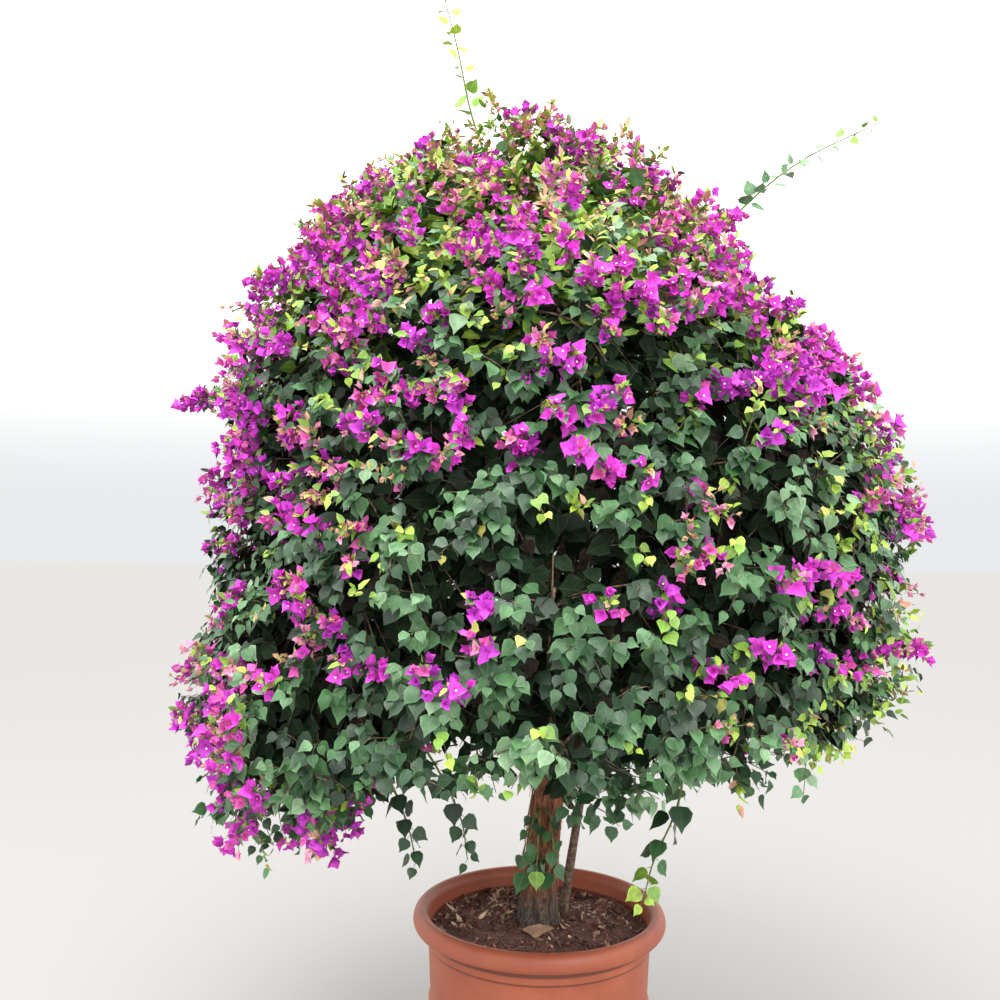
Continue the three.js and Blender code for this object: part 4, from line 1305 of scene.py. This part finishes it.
def leaf_materials():
    made = []
    for name, colour in LEAF_LOOKS.items():
        # The umber and shade looks are painted shade, so they are dull and nearly without sheen.
        rough, shine = (0.85, 0.1) if name in ("umber", "shade") else (0.40, 0.62)
        pale = tuple(min(255, int(channel * 1.25 + 22)) for channel in colour)
        one = blade_material(f"leaf_{name}", colour, rough, pale, 0.40, 0.24, margin_highlight_share=0.36)
        shader_inputs(one)["Specular IOR Level"].default_value = shine
        made.append(one)
    return made


def bract_materials():
    made = []
    for name, colour in BRACT_LOOKS.items():
        deep = tuple(int(channel * 0.66) for channel in colour)
        made.append(blade_material(f"bract_{name}", colour, 0.62, deep, 0.5, 0.14, pairs=9.0))
    return [*made, new_material("flower_white", 0.5, (250, 246, 228))[0]]


def litter_materials():
    return [
        blade_material(f"litter_{name}", colour, 0.85, tuple(int(c * 0.8) for c in colour), 0.4, 0.25)
        for name, colour in LITTER_LOOKS.items()
    ]


def bark_material():
    """Shaggy reddish-brown bark, dark grey at the foot, with long upright fibres."""
    made, tree = new_material("bark_shaggy", 0.9, (110, 76, 52))
    fibre = noise(tree, place_in(tree, (1.0, 1.0, 0.10)), 260.0, 5.0, 0.65)
    streak = noise(tree, place_in(tree, (1.0, 1.0, 0.16)), 60.0, 3.0)
    colour = blend(tree, fade(tree, fibre, 0.38, 0.66), tint(88, 58, 44), tint(182, 122, 86))
    colour = blend(tree, fade(tree, streak, 0.50, 0.70), colour, tint(168, 98, 66))
    height = node(tree, "SeparateXYZ", Vector=place_in(tree)).outputs[2]
    patch = times(tree, noise(tree, place_in(tree), 18.0), 0.10)
    foot = fade(tree, maths(tree, "ADD", height, patch), 0.66, 0.56)
    grey = blend(tree, fade(tree, fibre, 0.38, 0.66), tint(54, 46, 42), tint(112, 100, 88))
    colour = blend(tree, foot, colour, grey)
    return surfaced(made, colour, fibre, 0.003)


def twig_material(name, dark, light):
    made, tree = new_material(name, 0.85, dark)
    fleck = noise(tree, place_in(tree), 90.0, 4.0)
    colour = blend(tree, fade(tree, fleck, 0.38, 0.64), tint(*dark), tint(*light))
    return surfaced(made, colour, fleck, 0.001)


WOODY, GREEN, BARE = range(3)


def twig_materials():
    return [
        twig_material("twig_woody", (82, 66, 54), (140, 116, 92)),
        twig_material("twig_green", (88, 104, 52), (122, 134, 70)),
        twig_material("twig_bare", (52, 42, 36), (96, 80, 66)),
    ]


def bough_materials():
    return [
        twig_material("bark_boughs", (56, 46, 39), (98, 82, 67)),
        twig_material("bark_stem", (84, 68, 54), (136, 114, 90)),
    ]


def soil_material():
    made, tree = new_material("soil_crumbly", 0.95, (88, 60, 48))
    crumb = noise(tree, place_in(tree), 150.0, 6.0, 0.7)
    damp = noise(tree, place_in(tree), 14.0, 3.0)
    colour = blend(tree, fade(tree, crumb, 0.35, 0.68), tint(72, 46, 40), tint(150, 102, 86))
    colour = blend(tree, fade(tree, damp, 0.50, 0.66), colour, tint(92, 60, 52))
    return surfaced(made, colour, crumb, 0.004)


def planter_material():
    """Terracotta-coloured moulded plastic: faint cloudiness, fine grain, dust near the foot, and painted
    shade under the rim and at the neck's step.
    """
    made, tree = new_material("planter_plastic", 0.5, (186, 98, 70))
    cloud = noise(tree, place_in(tree), 5.0, 4.0)
    colour = blend(tree, fade(tree, cloud, 0.3, 0.7), tint(156, 79, 54), tint(174, 94, 66))
    height = node(tree, "SeparateXYZ", Vector=place_in(tree)).outputs[2]
    splash = noise(tree, place_in(tree), 24.0, 5.0, 0.65)
    low = times(tree, fade(tree, height, 0.22, 0.0), fade(tree, splash, 0.40, 0.62))
    colour = blend(tree, times(tree, low, 0.45), colour, tint(150, 122, 98))
    streak = noise(tree, place_in(tree, (1.0, 1.0, 0.12)), 34.0, 4.0)
    marks = times(tree, fade(tree, streak, 0.56, 0.72), 0.22)
    colour = blend(tree, marks, colour, tint(140, 78, 60))
    # Painted shade: a dark band under the rim's overhang and a thin line at the neck's step, where the rim
    # and the step cast shadow.
    lip = POT_HEIGHT - RIM_DEPTH
    for top, depth, share in ((lip - 0.002, 0.020, 0.75), (lip - NECK_BAND + 0.002, 0.006, 0.6)):
        shade_band_foot = fade(tree, height, top - depth - 0.003, top - depth + 0.001)
        painted_shade_band = times(tree, shade_band_foot, fade(tree, height, top + 0.001, top))
        colour = blend(tree, times(tree, painted_shade_band, share), colour, tint(84, 42, 30))
    rough = maths(tree, "ADD", times(tree, splash, 0.25), 0.36)
    tree.links.new(rough, shader_inputs(made)["Roughness"])
    grain = noise(tree, place_in(tree), 420.0, 2.0)
    return surfaced(made, colour, grain, 0.0006, 0.5)


# Assembly


def add_pieces(name, part, materials, nodes):
    """One kind of thing as pieces of limited size, all standing for the same nodes."""
    points, faces, look, place = part
    pieces = math.ceil(len(faces) / MOST_TRIANGLES)
    for i, chosen in enumerate(np.array_split(np.arange(len(faces)), pieces)):
        used, local = np.unique(faces[chosen], return_inverse=True)
        piece = (points[used], local.reshape(-1, 3), look[chosen], place[used])
        one = mesh_object(f"{name}_{i + 1}" if pieces > 1 else name, piece, materials)
        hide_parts(*nodes)


def build_planter():
    pot = mesh_object("planter", lathe(pot_profile(), POT_SIDES), [planter_material()])
    pot.data.set_sharp_from_angle(angle=math.radians(30))
    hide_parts("pot")
    soil = mesh_object("soil_surface", soil_mesh(), [soil_material()])
    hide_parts("soil")
    part = joined([litter(np.random.default_rng(401)), dry_leaf()])
    mesh_object("litter", part, litter_materials())


def build_wood(bark):
    trunk = mesh_object("trunk_bark", trunk_mesh(), [bark])
    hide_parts("trunk")
    mesh_object("bark_strips", bark_strips(np.random.default_rng(67)), [bark])
    parts = [(*limb_mesh(limb), int(limb.name == "second_stem"), None) for limb in limbs]
    wood = mesh_object("boughs_bark", joined(parts)[:3], bough_materials())
    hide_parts(*(limb.name for limb in limbs))


def twig_part(lines, radii, sides, look):
    """Twigs that taper along the lines, ready to be joined."""
    taper = np.broadcast_to(np.linspace(*radii, lines.shape[1]), lines.shape[:2])
    return (*tubes(lines, taper, sides), look, None)


def mass_twigs(growth):
    orders = (
        (growth.main, MAIN_TWIGS, 5),
        (growth.side, SIDE_TWIGS, 4),
        (growth.deep, DEEP_SPRAYS, 3),
        (growth.shade, SHADE_SPRAYS, 3),
        (growth.sprays, SPRAYS, 3),
    )
    parts = [twig_part(lines, (order.start, order.end), sides, WOODY) for lines, order, sides in orders]
    return [*parts, twig_part(growth.bare, BARE_RADII, 3, BARE)]


def mass_leaves(growth, random):
    return [
        spray_leaves(growth, random),
        inner_leaves(growth.main, DEEP_LEAVES, 0.30, DEEP_LENGTH, random),
        inner_leaves(growth.side, INNER_LEAVES, 0.30, 1.3 * LEAF_LENGTH, random),
        inner_leaves(growth.shade, SHADE_LEAVES, 0.35, 1.15 * LEAF_LENGTH, random),
        inner_leaves(growth.deep, DEEP_LEAVES, 0.15, DEEP_LENGTH, random),
    ]


def grow_masses():
    """Twigs and leaves of the masses, with the tips and ways of their flowering and of their young sprays."""
    twigs, leaves, flowering, young = [], [], [], []
    for mass in masses:
        random = np.random.default_rng(mass.seed + 7)
        growth = grown(mass)
        twigs += mass_twigs(growth)
        leaves += mass_leaves(growth, random)
        ends = growth.sprays[:, -1]
        way = unit(ends - growth.sprays[:, -2])
        flowers = random.random(len(ends)) < bloom_chance(ends)
        flush = (random.random(len(ends)) < flush_chance(ends)) & ~flowers
        flowering.append((ends[flowers], way[flowers]))
        young.append((ends[flush], way[flush]))
    return twigs, leaves, flowering, young


def grow_shoots():
    """Twigs and leaves of the shoots, with the tips and ways of their flowering ends."""
    twigs, leaves, flowering = [], [], []
    for i, shoot in enumerate(SHOOTS):
        line, stalks, leafy, ends = shoot_parts(shoot, 31 + i)
        twigs += [twig_part(line, WHIP_RADII, 5, GREEN), twig_part(stalks, LEAF_STALK_RADII, 3, GREEN)]
        leaves.append(leafy)
        flowering.append((ends, np.broadcast_to(unit(line[0, -1] - line[0, -2]), ends.shape)))
    return twigs, leaves, flowering


def build_crown():
    """Twigs, leaves and blossom of all the masses and shoots."""
    twigs, leaves, flowering, young = grow_masses()
    for own, more in zip((twigs, leaves, flowering), grow_shoots()):
        own += more
    tips, ways = (np.vstack(column) for column in zip(*flowering))
    random = np.random.default_rng(911)
    bracts, stalks = blossom(tips, ways, random)
    leaves.append(tufts(tips, ways, random))
    crowded = random.random(len(tips)) < head_share(tips)
    leaves.append(tufts(tips[crowded], ways[crowded], random))
    leaves.append(tufts(*(np.vstack(column) for column in zip(*young)), random))
    twigs.append(twig_part(stalks, BRACT_STALK_RADII, 3, GREEN))
    mass_names = [mass.name for mass in masses]
    all_names = mass_names + sorted({shoot.name for shoot in SHOOTS})
    add_pieces("leaves", joined(leaves), leaf_materials(), all_names)
    add_pieces("blossom", bracts, bract_materials(), mass_names)
    add_pieces("twigs", joined(twigs), twig_materials(), all_names)


# Stage: floor, sky, lights and camera


def build_floor():
    half = FLOOR_SIZE / 2
    points = [(-half, -half, 0), (half, -half, 0), (half, half, 0), (-half, half, 0)]
    mesh = bpy.data.meshes.new("floor")
    mesh.from_pydata(points, [], [(0, 1, 2, 3)])
    floor = in_scene("floor", mesh)
    mesh.materials.append(new_material("floor_pale", 0.9, (165, 163, 160))[0])


def build_sky():
    """A white sky, brightest overhead."""
    world = bpy.data.worlds.new("sky")
    bpy.context.scene.world = world
    world.use_nodes = True
    tree = world.node_tree
    way = node(tree, "TexCoord").outputs["Generated"]
    height = node(tree, "SeparateXYZ", Vector=way).outputs[2]
    colour = blend(tree, fade(tree, height, 0.0, 0.35), tint(171, 172, 173), tint(255, 255, 255))
    back = tree.nodes["Background"]
    tree.links.new(colour, back.inputs["Color"])
    back.inputs["Strength"].default_value = SKY_STRENGTH


def area_light(name, place, target, width, watts):
    data = bpy.data.lights.new(name, "AREA")
    data.shape = "DISK"
    data.size = width
    data.energy = watts
    made = in_scene(name, data)
    made.location = place
    made.rotation_euler = (Vector(target) - Vector(place)).to_track_quat("-Z", "Y").to_euler()


def build_lights():
    area_light("overhead", *OVERHEAD)
    area_light("front_fill", *FRONT_FILL)


def build_camera():
    data = bpy.data.cameras.new("camera")
    data.lens = LENS
    data.sensor_width = SENSOR
    made = in_scene("camera", data)
    tilt = Matrix.Rotation(math.radians(90 + CAMERA_PITCH), 4, "X")
    roll = Matrix.Rotation(math.radians(CAMERA_ROLL), 4, "Z")
    made.matrix_world = Matrix.Translation(CAMERA_PLACE) @ tilt @ roll
    bpy.context.scene.camera = made


build_planter()
build_wood(bark_material())
build_crown()
build_floor()
build_sky()
build_lights()
build_camera()
bpy.context.scene.view_settings.view_transform = "Standard"
